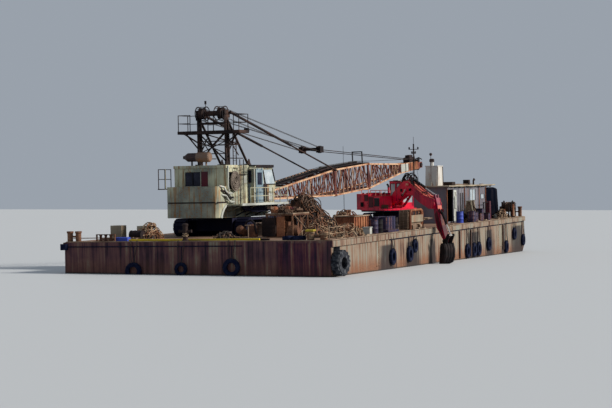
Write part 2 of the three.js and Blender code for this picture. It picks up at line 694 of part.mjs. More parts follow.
function makeCraneCab(upper) {
  const skin = 50;
  const base = WALK_TOP + GAP;
  const [y0, y1] = [-2250, -1210];
  const profile = [[-1140, base], [1650, base], [1890, 3450], [1450, 4400], [-1140, 4400]];
  const hollow = [
    [-1140 + skin, base + skin], [1650 - skin, base + skin], [1890 - skin, 3450],
    [1450 - skin, 4400 - skin], [-1140 + skin, 4400 - skin],
  ];
  const sideWindow = [[150, 3300], [1760, 3300], [1790, 3470], [1430, 4230], [150, 4230]];
  const doorway = { x: [-950, -50], z: [base + 100, 4180] };
  part(upper, 'crane_cab', 'crane', [
    cut(prismY(profile, y0, y1), [
      prismY(hollow, y0 + skin, y1 - skin),
      prismY(sideWindow, y0 - 1, y0 + skin + 1),
      prismY(sideWindow, y1 - skin - 1, y1 + 1),
      box(...doorway.x, y0 - 1, y0 + skin + 1, ...doorway.z),
      box(-1141, -1140 + skin + 1, y0 + 200, y1 - 200, 3400, 4200),
      box(1300, 2000, y0 + 120, y1 - 120, 3480, 4300),
      box(1500, 2000, y0 + 120, y1 - 120, 2600, 3380),
    ]),
    prismY([[-1145, 4390], [1560, 4390], [1500, 4470], [-1145, 4470]], y0 - 60, y1 + 20),
    box(-1900, 60, y0 - 62, y0 + 5, 4300 + GAP, 4350), // the door's rail
  ]);
  // Sliding door, hung outside the doorway
  const face = y0 - RUNNING_GAP;
  part(upper, 'crane_cab_door', 'crane', cut(
    box(doorway.x[0] - 40, doorway.x[1] + 40, face - 45, face, doorway.z[0] - 30, 4300),
    [box(doorway.x[0] + 130, doorway.x[1] - 130, face - 46, face + 1, 3250, 4050)],
  ));
}

function makeGantry(upper) {
  const foot = HOUSE_TOP + GAP;
  const floor = PLATFORM_HEIGHT;
  const pieces = [
    box(GANTRY_REAR - 75, GANTRY_REAR + 75, -GANTRY_HALF, GANTRY_HALF, 7170, 7320),
    box(GANTRY_REAR - 650, GANTRY_REAR + 650, ...PLATFORM_SIDES, floor, floor + 60),
    box(GANTRY_REAR - 650, GANTRY_REAR - 560, ...PLATFORM_SIDES, floor - 90, floor + 10),
    box(GANTRY_REAR + 560, GANTRY_REAR + 650, ...PLATFORM_SIDES, floor - 90, floor + 10),
  ];
  for (const side of [-1, 1]) {
    const y = side * GANTRY_HALF;
    const near = (x, z) => [x, y, z];
    pieces.push(tube(near(GANTRY_REAR, foot), near(GANTRY_REAR, 7640), 95, 6));
    pieces.push(tube(near(430, foot + 60), near(-2480, 7620), 80, 6));
    pieces.push(box(GANTRY_REAR - 180, GANTRY_REAR + 180, y - 180, y + 180, foot, foot + 40));
    pieces.push(box(270, 630, y - 170, y + 170, foot, foot + 40));
    pieces.push(bar(near(GANTRY_REAR, 5900), near(-700, 5900), 80));
    pieces.push(box(-2800, -2300, y - 60, y + 60, 7450, 8100));
    const inner = side * (GANTRY_HALF - 30);
    const saddle = BACKSTOP_FOOT[1] - 55 - GAP;
    pieces.push(box(-2400, BACKSTOP_FOOT[0] + 90, inner - 45, inner + 45, 7600, saddle));
    pieces.push(bar([GANTRY_REAR, y, 5600], [GANTRY_REAR, side * 1950, floor - 40], 70));
  }
  for (const side of [-1, 1]) {
    pieces.push(bar([GANTRY_REAR, side * 1000, 4800], [GANTRY_REAR, -side * 1000, floor - 30], 75));
    pieces.push(bar([-700, side * 1000, 5900], [GANTRY_REAR, -side * 1000, floor + 20], 70));
  }
  pieces.push(bar([-700, -1000, 5900], [-700, 1000, 5900], 80));
  const [x0, x1] = [GANTRY_REAR - 620, GANTRY_REAR + 620];
  for (const side of [-1, 1]) {
    const end = side < 0 ? PLATFORM_SIDES[0] + 30 : PLATFORM_SIDES[1] - 30;
    const corners = [[x0, side * 1250], [x0, end], [x1, end], [x1, side * 1250]];
    pieces.push(...railing(corners, floor + 60, 1050, 40));
  }
  pieces.push(box(GANTRY_REAR - 230, GANTRY_REAR, 290, 370, 7200, 7280));
  pieces.push(tube([GANTRY_REAR - 190, 330, 7240], [GANTRY_REAR - 190, 330, 8510], 22, 6));
  pieces.push(tube([GANTRY_REAR - 190, 330, 8480], [GANTRY_REAR - 190, 330, 8700], 70, 8));
  part(upper, 'crane_gantry', 'dark', pieces);

  // Hoist sheaves and their shaft, between the cheeks at the gantry's top
  const core = GANTRY_HALF - 60 - GAP;
  const sheave = (y) => [[0, y - 130], [400, y - 130], [340, y], [400, y + 130], [0, y + 130]];
  part(upper, 'gantry_sheaves', 'dark', [
    tube([GANTRY_SHEAVES, -core, GANTRY_TOP], [GANTRY_SHEAVES, core, GANTRY_TOP], 170, 12),
    turned(sheave(-690), 'y', [GANTRY_SHEAVES, 0, GANTRY_TOP], 16),
    turned(sheave(690), 'y', [GANTRY_SHEAVES, 0, GANTRY_TOP], 16),
  ]);

  // Silencer across the roof on two saddles
  const [x, z] = [-3480, 5080];
  part(upper, 'silencer', 'funnel', [
    turned([
      [0, -340], [260, -340], [325, -270], [325, 560], [280, 620], [280, 1280],
      [110, 1540], [110, 1610], [0, 1610],
    ], 'y', [x, 0, z], 14),
    box(x - 60, x + 60, -60, 0, foot, z),
    box(x - 60, x + 60, 980, 1040, foot, z),
  ]);
}

// Open lattice between stations along the boom, each given as distance, half width and half depth
function lattice(stations, panels, lacing = LACING) {
  const corner = ([s, w, d], i) => [s, i === 0 || i === 3 ? -w : w, i < 2 ? d : -d];
  const at = (distance) => {
    const next = Math.max(1, stations.findIndex(([s]) => s >= distance - 1));
    const [a, b] = [stations[next - 1], stations[next]];
    const t = (distance - a[0]) / (b[0] - a[0]);
    return a.map((value, k) => value + (b[k] - value) * t);
  };
  const pieces = [];
  for (let i = 0; i < 4; i++) {
    for (let k = 1; k < stations.length; k++) {
      pieces.push(bar(corner(stations[k - 1], i), corner(stations[k], i), CHORD));
    }
  }
  const [first, last] = [stations[0][0], stations[stations.length - 1][0]];
  const inset = CHORD / 2;
  const places = Array.from({ length: panels + 1 }, (_, k) => (
    first + inset + ((last - first - CHORD) * k) / panels
  ));
  for (const end of [places[0], places[panels]]) {
    for (let i = 0; i < 4; i++) {
      pieces.push(bar(corner(at(end), i), corner(at(end), (i + 1) % 4), CHORD * 0.9));
    }
  }
  for (let k = 0; k < panels; k++) {
    for (let i = 0; i < 4; i++) {
      const j = (i + 1) % 4;
      const [from, to] = (k + i) % 2 ? [i, j] : [j, i];
      pieces.push(bar(corner(at(places[k]), from), corner(at(places[k + 1]), to), lacing));
    }
  }
  const room = 1300;
  return cut(join(pieces), [
    box(first - room, first, -room, room, -room, room),
    box(last, last + room, -room, room, -room, room),
  ]);
}

function makeBoom(upper) {
  const boom = groupAt(upper, BOOM_FOOT);
  boom.rotation.set(0, -BOOM_ANGLE, 0);
  const [end1, end2, end3] = BOOM_JOINTS;
  const [w, d] = [BOOM_HALF_WIDTH, BOOM_HALF_DEPTH];

  const base = [lattice([[500, w, 180], [end1 - GAP / 2, w, d]], 8)];
  for (const side of [-1, 1]) {
    const y = side * w;
    base.push(tube([0, y - CHORD / 2, 0], [0, y + CHORD / 2, 0], 150, 12));
    base.push(prismY([[0, -150], [620, -235], [620, 235], [0, 150]], y - CHORD / 2, y + CHORD / 2));
  }
  part(boom, 'boom_base', 'boom', base);

  part(boom, 'boom_insert', 'boom', lattice([[end1 + GAP / 2, w, d], [end2 - GAP / 2, w, d]], 4));

  const [headW, headD] = HEAD_HALF;
  const guide = { s: 18520, half: 400, low: d + 40, top: 1850 };
  const tip = [
    lattice([[end2 + GAP / 2, w, d], [HEAD_START, headW, headD]], 6),
    bar([guide.s, -w, guide.low], [guide.s, w, guide.low], 130),
    bar([guide.s, -guide.half, guide.low], [guide.s, -guide.half, guide.top], 75),
    bar([guide.s, guide.half, guide.low], [guide.s, guide.half, guide.top], 75),
    bar([guide.s, -guide.half - 37, guide.top], [guide.s, guide.half + 37, guide.top], 75),
  ];
  const plate = 45;
  const [pinS, pinT] = PENDANT_PIN;
  for (const side of [-1, 1]) {
    const inner = side * (headW - plate / 2);
    const outer = side * (headW + plate / 2);
    const [y0, y1] = [Math.min(inner, outer), Math.max(inner, outer)];
    tip.push(prismY([
      [HEAD_START - 150, -headD - 40], [29000, -headD + 40], [end3 + 350, -240], [end3 + 420, 0],
      [end3 + 300, 230], [pinS + 160, 250], [pinS + 60, pinT - PIN_RADIUS - GAP],
      [pinS - 60, pinT - PIN_RADIUS - GAP], [pinS - 200, headD - 60], [HEAD_START - 150, headD + 40],
    ], y0, y1));
  }
  for (const s of [HEAD_START, 27300, 28800]) {
    tip.push(bar([s, -headW, 250], [s, headW, 250], 90));
    tip.push(bar([s, -headW, -250], [s, headW, -250], 90));
  }
  tip.push(tube([end3, -headW, 0], [end3, headW, 0], SHEAVE_AXLE, 20));
  part(boom, 'boom_tip', 'boom', tip);

  const bore = SHEAVE_AXLE + 2;
  part(boom, 'boom_head_sheave', 'dark', turned([
    [bore, -150], [440, -150], [440, -90], [370, 0], [440, 90], [440, 150], [bore, 150], [bore, -150],
  ], 'y', [end3, 0, 0], 20));
}

function makePendants(upper) {
  const [s, t] = PENDANT_PIN;
  const pin = [
    BOOM_FOOT[0] + s * Math.cos(BOOM_ANGLE) - t * Math.sin(BOOM_ANGLE),
    BOOM_FOOT[2] + s * Math.sin(BOOM_ANGLE) + t * Math.cos(BOOM_ANGLE),
  ];
  const [x, z] = SPREADER;
  const pieces = [tube([pin[0], -400, pin[1]], [pin[0], 400, pin[1]], PIN_RADIUS, 8)];
  for (const side of [-1, 1]) {
    pieces.push(tube([pin[0], side * 380, pin[1]], [x, side * 600, z], 28, 6));
    const y = side * SPREADER_HALF;
    pieces.push(box(x - 220, x + 220, y - 130, y + 130, z - 190, z + 190));
  }
  pieces.push(bar([x, -SPREADER_HALF, z], [x, SPREADER_HALF, z], 190, 170));
  part(upper, 'pendants', 'dark', pieces);
}

// Backstops: a tube from the gantry and a rod to the boom's upper chord, both shown at rest
function makeBackstops(upper) {
  const [x0, z0] = BACKSTOP_FOOT;
  const reach = BOOM_JOINTS[0] - 120;
  const lift = BOOM_HALF_DEPTH;
  const x1 = BOOM_FOOT[0] + reach * Math.cos(BOOM_ANGLE) - lift * Math.sin(BOOM_ANGLE);
  const z1 = BOOM_FOOT[2] + reach * Math.sin(BOOM_ANGLE) + lift * Math.cos(BOOM_ANGLE);
  const length = Math.hypot(x1 - x0, z1 - z0);
  const point = (y, along) => [
    x0 + ((x1 - x0) * along) / length, y, z0 + ((z1 - z0) * along) / length,
  ];
  const [tubeEnd, rodStart] = [8900, 8300];
  const [tubeRadius, bore, rod] = [85, 62, 56];
  const tubes = [tube([x0, -BACKSTOP_SIDE, z0], [x0, BACKSTOP_SIDE, z0], 55, 8)];
  for (const side of [-1, 1]) {
    const y = side * BACKSTOP_SIDE;
    tubes.push(cut(tube(point(y, -60), point(y, tubeEnd), tubeRadius, 10), [
      tube(point(y, 1600), point(y, tubeEnd + 10), bore, 10),
    ]));
  }
  part(upper, 'backstop_tubes', 'dark', tubes);
  const pinHalf = BACKSTOP_SIDE - BOOM_HALF_WIDTH - CHORD / 2 - GAP;
  for (const [name, side] of [['left', 1], ['right', -1]]) {
    const y = side * BACKSTOP_SIDE;
    const eye = point(y, length);
    part(upper, `backstop_rod_${name}`, 'dark', [
      tube(point(y, rodStart), eye, rod, 10),
      tube([eye[0], y - 40, eye[2]], [eye[0], y + 40, eye[2]], 80, 10),
      tube([eye[0], y - pinHalf, eye[2]], [eye[0], y + pinHalf, eye[2]], 45, 8),
    ]);
  }
}

function makeCrane() {
  makeCraneCarrier();
  const upper = groupAt(deck, [...CRANE_AT, 0], CRANE_HEADING);
  makeCraneHouse(upper);
  makeCraneCab(upper);
  makeGantry(upper);
  makeBoom(upper);
  makePendants(upper);
  makeBackstops(upper);
}

// Place on the line between two pins, each given as x and z, at a distance from the first
function between(y, foot, eye, along) {
  const share = along / Math.hypot(eye[0] - foot[0], eye[1] - foot[1]);
  return [foot[0] + (eye[0] - foot[0]) * share, y, foot[1] + (eye[1] - foot[1]) * share];
}

// Hydraulic cylinder between two pins: barrels on one node, each rod on its own
function barrel(y, foot, eye, length, radius, bore) {
  const point = (along) => between(y, foot, eye, along);
  return cut(tube(point(0), point(length), radius, 12), [
    tube(point(0.12 * length), point(length + 10), bore, 12),
  ]);
}

function pistonRod(y, foot, eye, start, radius, eyeRadius, pinHalf = 60) {
  const from = between(y, foot, eye, start);
  return join([
    tube(from, [eye[0], y, eye[1]], radius, 12),
    tube([eye[0], y - 60, eye[1]], [eye[0], y + 60, eye[1]], eyeRadius, 10),
    tube([eye[0], y - pinHalf, eye[1]], [eye[0], y + pinHalf, eye[1]], 0.6 * eyeRadius, 8),
  ]);
}

function makeDiggerHouse(upper) {
  const [y0, y1] = [-1400, 1400];
  const lugs = [
    [DIGGER_ARM_SIDE - 370, DIGGER_ARM_SIDE - 305], [DIGGER_ARM_SIDE + 305, DIGGER_ARM_SIDE + 370],
  ];
  const pieces = [
    box(-2290, 1100, y0, y1, DIGGER_BED, 1340),
    box(-2290, -1080, y0, y1, 1330, 2400),
    box(-1090, 640, y0, -430, 1330, 2250),
    box(-2150, -1300, -1000, -200, 2390, 2470),
    tube([-1700, 700, 2390], [-1700, 700, 2900], 70, 8),
  ];
  for (const [a, b] of lugs) {
    pieces.push(prismY([[-250, 1330], [520, 1330], [300, 1900], [20, 1900]], a, b));
  }
  for (const y of [DIGGER_ARM_SIDE - 250, DIGGER_ARM_SIDE + 250]) {
    pieces.push(box(950, 1050, y - 40, y + 40, 1330, 1480 - 70 - GAP));
  }
  part(upper, 'digger_house', 'red', pieces);

  const rear = [[-2290 - GAP, y0], [-2290 - GAP, y1]];
  for (let i = 0; i <= 6; i++) {
    const t = 1 - (2 * i) / 6;
    rear.push([-3070 + 260 * t * t, y1 * t]);
  }
  part(upper, 'digger_counterweight', 'red', prismZ(rear, 1230, 2420));

  const skin = 45;
  const base = 1340 + GAP;
  const [c0, c1] = [400, 1385];
  const profile = [[-1040, base], [740, base], [740, 2300], [560, 3300], [-1040, 3300]];
  const hollow = [
    [-1040 + skin, base + skin], [740 - skin, base + skin], [740 - skin, 2290],
    [560 - skin, 3300 - skin], [-1040 + skin, 3300 - skin],
  ];
  const pane = [[-50, 2250], [640, 2250], [480, 3150], [-50, 3150]];
  const doorway = { x: [-930, -150], z: [base + 80, 3150] };
  const hinge = [-925, c1 + 19];
  part(upper, 'digger_cab', 'white', [
    ...[[1700 + GAP, 1750], [2800, 2850 - GAP]].flatMap(([a, b]) => [
      tube([...hinge, a], [...hinge, b], 16),
      box(-980, -925, c1 - 2, c1 + 25, a, b),
    ]),
    cut(prismY(profile, c0, c1), [
      prismY(hollow, c0 + skin, c1 - skin),
      prismY(pane, c1 - skin - 1, c1 + 1),
      prismY(pane, c0 - 1, c0 + skin + 1),
      box(-900, -250, c0 - 1, c0 + skin + 1, 2250, 3150),
      box(...doorway.x, c1 - skin - 1, c1 + 1, ...doorway.z),
      box(-1041, -1040 + skin + 1, c0 + 130, c1 - 130, 2500, 3100),
      box(540, 800, c0 + 90, c1 - 90, 1750, 3180),
    ]),
  ]);
  const swing = RUNNING_GAP;
  const [d0, d1] = doorway.x;
  part(upper, 'digger_cab_door', 'white', [
    cut(box(d0 + swing, d1 - swing, c1 - 40, c1, doorway.z[0] + swing, doorway.z[1] - swing), [
      box(d0 + 110, d1 - 110, c1 - 41, c1 + 1, 2250, 3050),
    ]),
    ...[[1650, 1700], [2850, 2900]].flatMap(([a, b]) => [
      tube([...hinge, a], [...hinge, b], 16),
      box(-925, -870, c1 - 2, c1 + 25, a, b),
    ]),
  ]);
}

function makeDiggerArm(upper) {
  const side = DIGGER_ARM_SIDE;
  const boomHalf = 280;
  const stickHalf = 140;
  const [ex, ez] = ARM_END;
  const [fx, fz] = ARM_FOOT;
  const top = [
    [0, 1980], [1050, 2750], [2100, 3300], [2700, 3330], [4100, 2640], [4960, 2270], [ex + 120, ez + 400],
  ];
  const bottom = [
    [ex + 180, ez - 290], [5450, 1330], [4100, 1830], [3050, 2380], [2200, 2320], [1000, 1860], [100, 1520],
  ];
  const slot = stickHalf + RUNNING_GAP;
  const [sx, sz] = [2700, 3520]; // foot of the stick's cylinder
  part(upper, 'digger_boom', 'red', [
    cut(prismY([...top, ...bottom], side - boomHalf, side + boomHalf), [
      box(ex - 1050, ex + 300, side - slot, side + slot, 900, 2700),
    ]),
    tube([fx, side - boomHalf - 24, fz], [fx, side + boomHalf + 24, fz], 150, 12),
    ...[-1, 1].map((s) => prismY(
      [[2450, 3280], [2950, 3180], [2760, 3590], [2640, 3590]], side + s * 110 - 30, side + s * 110 + 30,
    )),
    ...[-1, 1].map((s) => tube(
      [ex, side + s * (stickHalf + GAP), ez], [ex, side + s * (boomHalf + 40), ez], 170, 14,
    )),
  ]);

  const boomFoot = [1000, 1480];
  const boomEye = [2500, 2650];
  const sides = [-1, 1].map((s) => side + s * (boomHalf + 95));
  part(upper, 'digger_boom_cylinders', 'dark', [
    ...sides.map((y) => barrel(y, boomFoot, boomEye, 1330, 80, 52)),
    tube([boomFoot[0], sides[0] - 90, boomFoot[1]], [boomFoot[0], sides[1] + 90, boomFoot[1]], 70, 10),
  ]);
  for (const [name, y] of [['right', sides[0]], ['left', sides[1]]]) {
    const rod = pistonRod(y, boomFoot, boomEye, 600, 46, 75, 95 - GAP);
    part(upper, `digger_boom_rod_${name}`, 'steel', rod);
  }

  // Stick: pivot at the boom's end, a short lever above it, the bucket's pivot below
  const lever = [ex - 40, ez + 670];
  const [bx, bz] = STICK_END;
  const stick = prismY([
    [lever[0] - 90, lever[1] + 60], [lever[0] + 110, lever[1] + 60],
    [ex + 330, ez + 50], [ex + 420, ez - 350],
    [bx + 150, bz + 60], [bx + 60, bz - 130], [bx - 90, bz - 110], [bx - 150, bz + 60],
    [6240, -20], [ex - 60, ez - 700], [ex - 190, ez - 120], [ex - 160, ez + 200],
  ], side - stickHalf, side + stickHalf);
  const [kx, kz] = [6600, 1200]; // foot of the bucket's cylinder
  const pinEnd = stickHalf + RUNNING_GAP + 2 - GAP; // reaches the bucket's ears
  part(upper, 'digger_stick', 'red', [
    cut(stick, [
      box(ex - 400, ex + 300, side - 60 - GAP, side + 60 + GAP, lever[1] - 190, lever[1] + 180),
    ]),
    tube([bx, side - pinEnd, bz], [bx, side + pinEnd, bz], 85, 12),
    ...[-1, 1].map((s) => prismY(
      [[6380, 1370], [6440, 850], [kx + 70, kz - 60], [kx + 70, kz + 70]],
      side + s * 110 - 25, side + s * 110 + 25,
    )),
  ]);
  part(upper, 'digger_stick_cylinder', 'dark', [
    barrel(side, [sx, sz], lever, 2050, 78, 50),
    tube([sx, side - 80 + GAP, sz], [sx, side + 80 - GAP, sz], 60, 10),
  ]);
  part(upper, 'digger_stick_rod', 'steel', pistonRod(side, [sx, sz], lever, 1500, 44, 60));

  const bucketEye = [bx + 620, bz + 430];
  part(upper, 'digger_bucket_cylinder', 'dark', [
    barrel(side, [kx, kz], bucketEye, 1180, 72, 46),
    tube([kx, side - 85 + GAP, kz], [kx, side + 85 - GAP, kz], 55, 10),
  ]);
  const bucketRod = pistonRod(side, [kx, kz], bucketEye, 700, 40, 60, pinEnd);
  part(upper, 'digger_bucket_rod', 'steel', bucketRod);

  // Bucket with teeth and ears; its mouth faces the machine
  const half = 420;
  const [px, pz] = [bx, bz];
  const outer = [
    [px - 60, pz - 160], [px + 320, pz - 100], [px + 490, pz - 560], [px + 460, pz - 1080],
    [px + 230, pz - 1450], [px - 230, pz - 1560],
  ];
  const inner = [
    [px - 61, pz - 225], [px + 275, pz - 165], [px + 435, pz - 580], [px + 408, pz - 1060],
    [px + 205, pz - 1400], [px - 231, pz - 1500],
  ];
  const bucket = [cut(prismY(outer, side - half, side + half), [
    prismY([...inner, [px - 800, pz - 1450], [px - 800, pz - 230]], side - half + 50, side + half - 50),
  ])];
  for (const s of [-1, 1]) {
    const a = side + s * (stickHalf + RUNNING_GAP + 30); // middle of the ear
    bucket.push(prismY([
      [px - 160, pz + 60], [px - 60, pz + 150], [px + 120, pz + 150], [px + 500, pz + 520],
      [px + 700, pz + 520], [px + 720, pz + 340], [px + 370, pz - 190], [px - 60, pz - 220],
    ], a - 28, a + 28));
  }
  for (let i = 0; i < 5; i++) {
    const y = side - half + 90 + (i * (2 * half - 180)) / 4;
    const tooth = [[px - 150, pz - 1480], [px - 150, pz - 1560], [px - 400, pz - 1590]];
    bucket.push(prismY(tooth, y - 45, y + 45));
  }
  part(upper, 'digger_bucket', 'black', bucket);
}

function makeDigger() {
  const carrier = groupAt(deck, [...DIGGER_AT, 0]);
  makeTracks(carrier, 'digger', DIGGER_TRACK);
  part(carrier, 'digger_undercarriage', 'dark', [
    trackFrame(DIGGER_TRACK, 1), trackFrame(DIGGER_TRACK, -1),
    box(-700, 700, -900, 900, 380, 900),
    box(-500, 500, -1300, 1300, 420, 760),
    tube([0, 0, 880], [0, 0, DIGGER_BED - GAP], 620, 20),
  ]);
  const upper = groupAt(deck, [...DIGGER_AT, 0], DIGGER_HEADING);
  makeDiggerHouse(upper);
  makeDiggerArm(upper);
}

makeHull();
makeFenders();
makeBitts();
makeDeckhouse();
makeDeckGear();
makeCrane();
makeDigger();

export default dredger;
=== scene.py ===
"""Looks of a dredging pontoon with its crawler crane, excavator and deckhouse, as a 1:2 model.

Lengths in the makers below are the real vessel's metres: u from the near end, v from the working
side and z above the deck. The place functions turn them into the model's own frame.
"""

import random
from math import cos, dist, hypot, pi, sin, sqrt

import bpy
from bpy.props import FloatProperty, FloatVectorProperty, IntProperty, PointerProperty
from bpy.types import Operator, Panel, PropertyGroup
from mathutils import Matrix, Vector


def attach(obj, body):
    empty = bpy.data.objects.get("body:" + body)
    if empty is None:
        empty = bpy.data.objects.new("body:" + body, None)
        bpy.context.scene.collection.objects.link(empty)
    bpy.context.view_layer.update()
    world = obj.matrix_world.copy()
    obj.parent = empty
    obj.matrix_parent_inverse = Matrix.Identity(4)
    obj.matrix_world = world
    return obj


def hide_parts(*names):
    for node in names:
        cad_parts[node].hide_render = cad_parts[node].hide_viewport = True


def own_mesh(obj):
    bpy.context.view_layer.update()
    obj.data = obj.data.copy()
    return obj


bl_info = {
    "name": "Dredging Pontoon",
    "version": (1, 0, 0),
    "blender": (4, 5, 0),
    "location": "View3D > Sidebar > Dredger",
    "description": "Dresses a dredging pontoon with finishes, fenders, rigging and deck gear",
    "category": "Object",
}

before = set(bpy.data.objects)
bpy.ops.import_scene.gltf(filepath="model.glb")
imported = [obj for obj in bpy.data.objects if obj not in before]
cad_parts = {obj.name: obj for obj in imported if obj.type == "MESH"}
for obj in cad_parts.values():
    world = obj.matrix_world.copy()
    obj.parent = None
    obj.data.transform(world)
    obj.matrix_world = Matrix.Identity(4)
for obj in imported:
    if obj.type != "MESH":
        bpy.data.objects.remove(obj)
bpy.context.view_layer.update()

HULL_LENGTH = 55.1
HULL_WIDTH = 16.85
DECK = 4  # above the keel
DEG = pi / 180
CRANE_AT = (11.9, 10.6)
CRANE_HEADING = -7 * DEG
BOOM_FOOT = (1.9, 2.4)
BOOM_ANGLE = 4.2 * DEG
DIGGER_AT = (27.8, 4.2)
DIGGER_HEADING = -133 * DEG
GANTRY_SHEAVE = (-2.57, 7.89)  # ahead of and above the crane's middle
SPREADER = (12.1, 5.7)
BUCKET_PIN = (7.2, -0.92)
WINCH_AT = (38.9, 0.98)
WINDLASS_AT = (53.3, 1)
WINCH_HEIGHT, WINDLASS_HEIGHT = 0.76, 0.89  # of their shafts
OPEN_AIR = 99  # height of a thing that nothing hangs over
SOFT_EDGES = 0.6  # angle in radians up to which rounds look smooth
DRAUGHT = 1.91  # of the near working corner
TRIM = -0.017  # rise of the water for each metre along the hull
HEEL = 0.0133  # and for each metre across it
CAMERA_AT = (-92.3, -29.94)
CAMERA_HEIGHT = 4.3  # above the water
CAMERA_AHEAD = (0.947, 0.322)
FRAME_WIDTH = 612  # of the picture, in pixels
FLOOR_HALF = 400  # half of the floor's side, in model metres
UP, ALONG, ACROSS = (0, 0, 1), (1, 0, 0), (0, 1, 0)


def vessel(u, v, z):
    return Vector(((u - HULL_LENGTH / 2) / 2, (v - HULL_WIDTH / 2) / 2, (z + DECK) / 2))


def turned_place(centre, heading):
    c, s = cos(heading), sin(heading)

    def place(x, y, z):
        return vessel(centre[0] + c * x - s * y, centre[1] + s * x + c * y, z)
    return place


crane = turned_place(CRANE_AT, CRANE_HEADING)
digger_base = turned_place(DIGGER_AT, 0)
digger = turned_place(DIGGER_AT, DIGGER_HEADING)


def boom(s, y, t):
    c, n = cos(BOOM_ANGLE), sin(BOOM_ANGLE)
    return crane(BOOM_FOOT[0] + c * s - n * t, y, BOOM_FOOT[1] + n * s + c * t)


# Mesh making

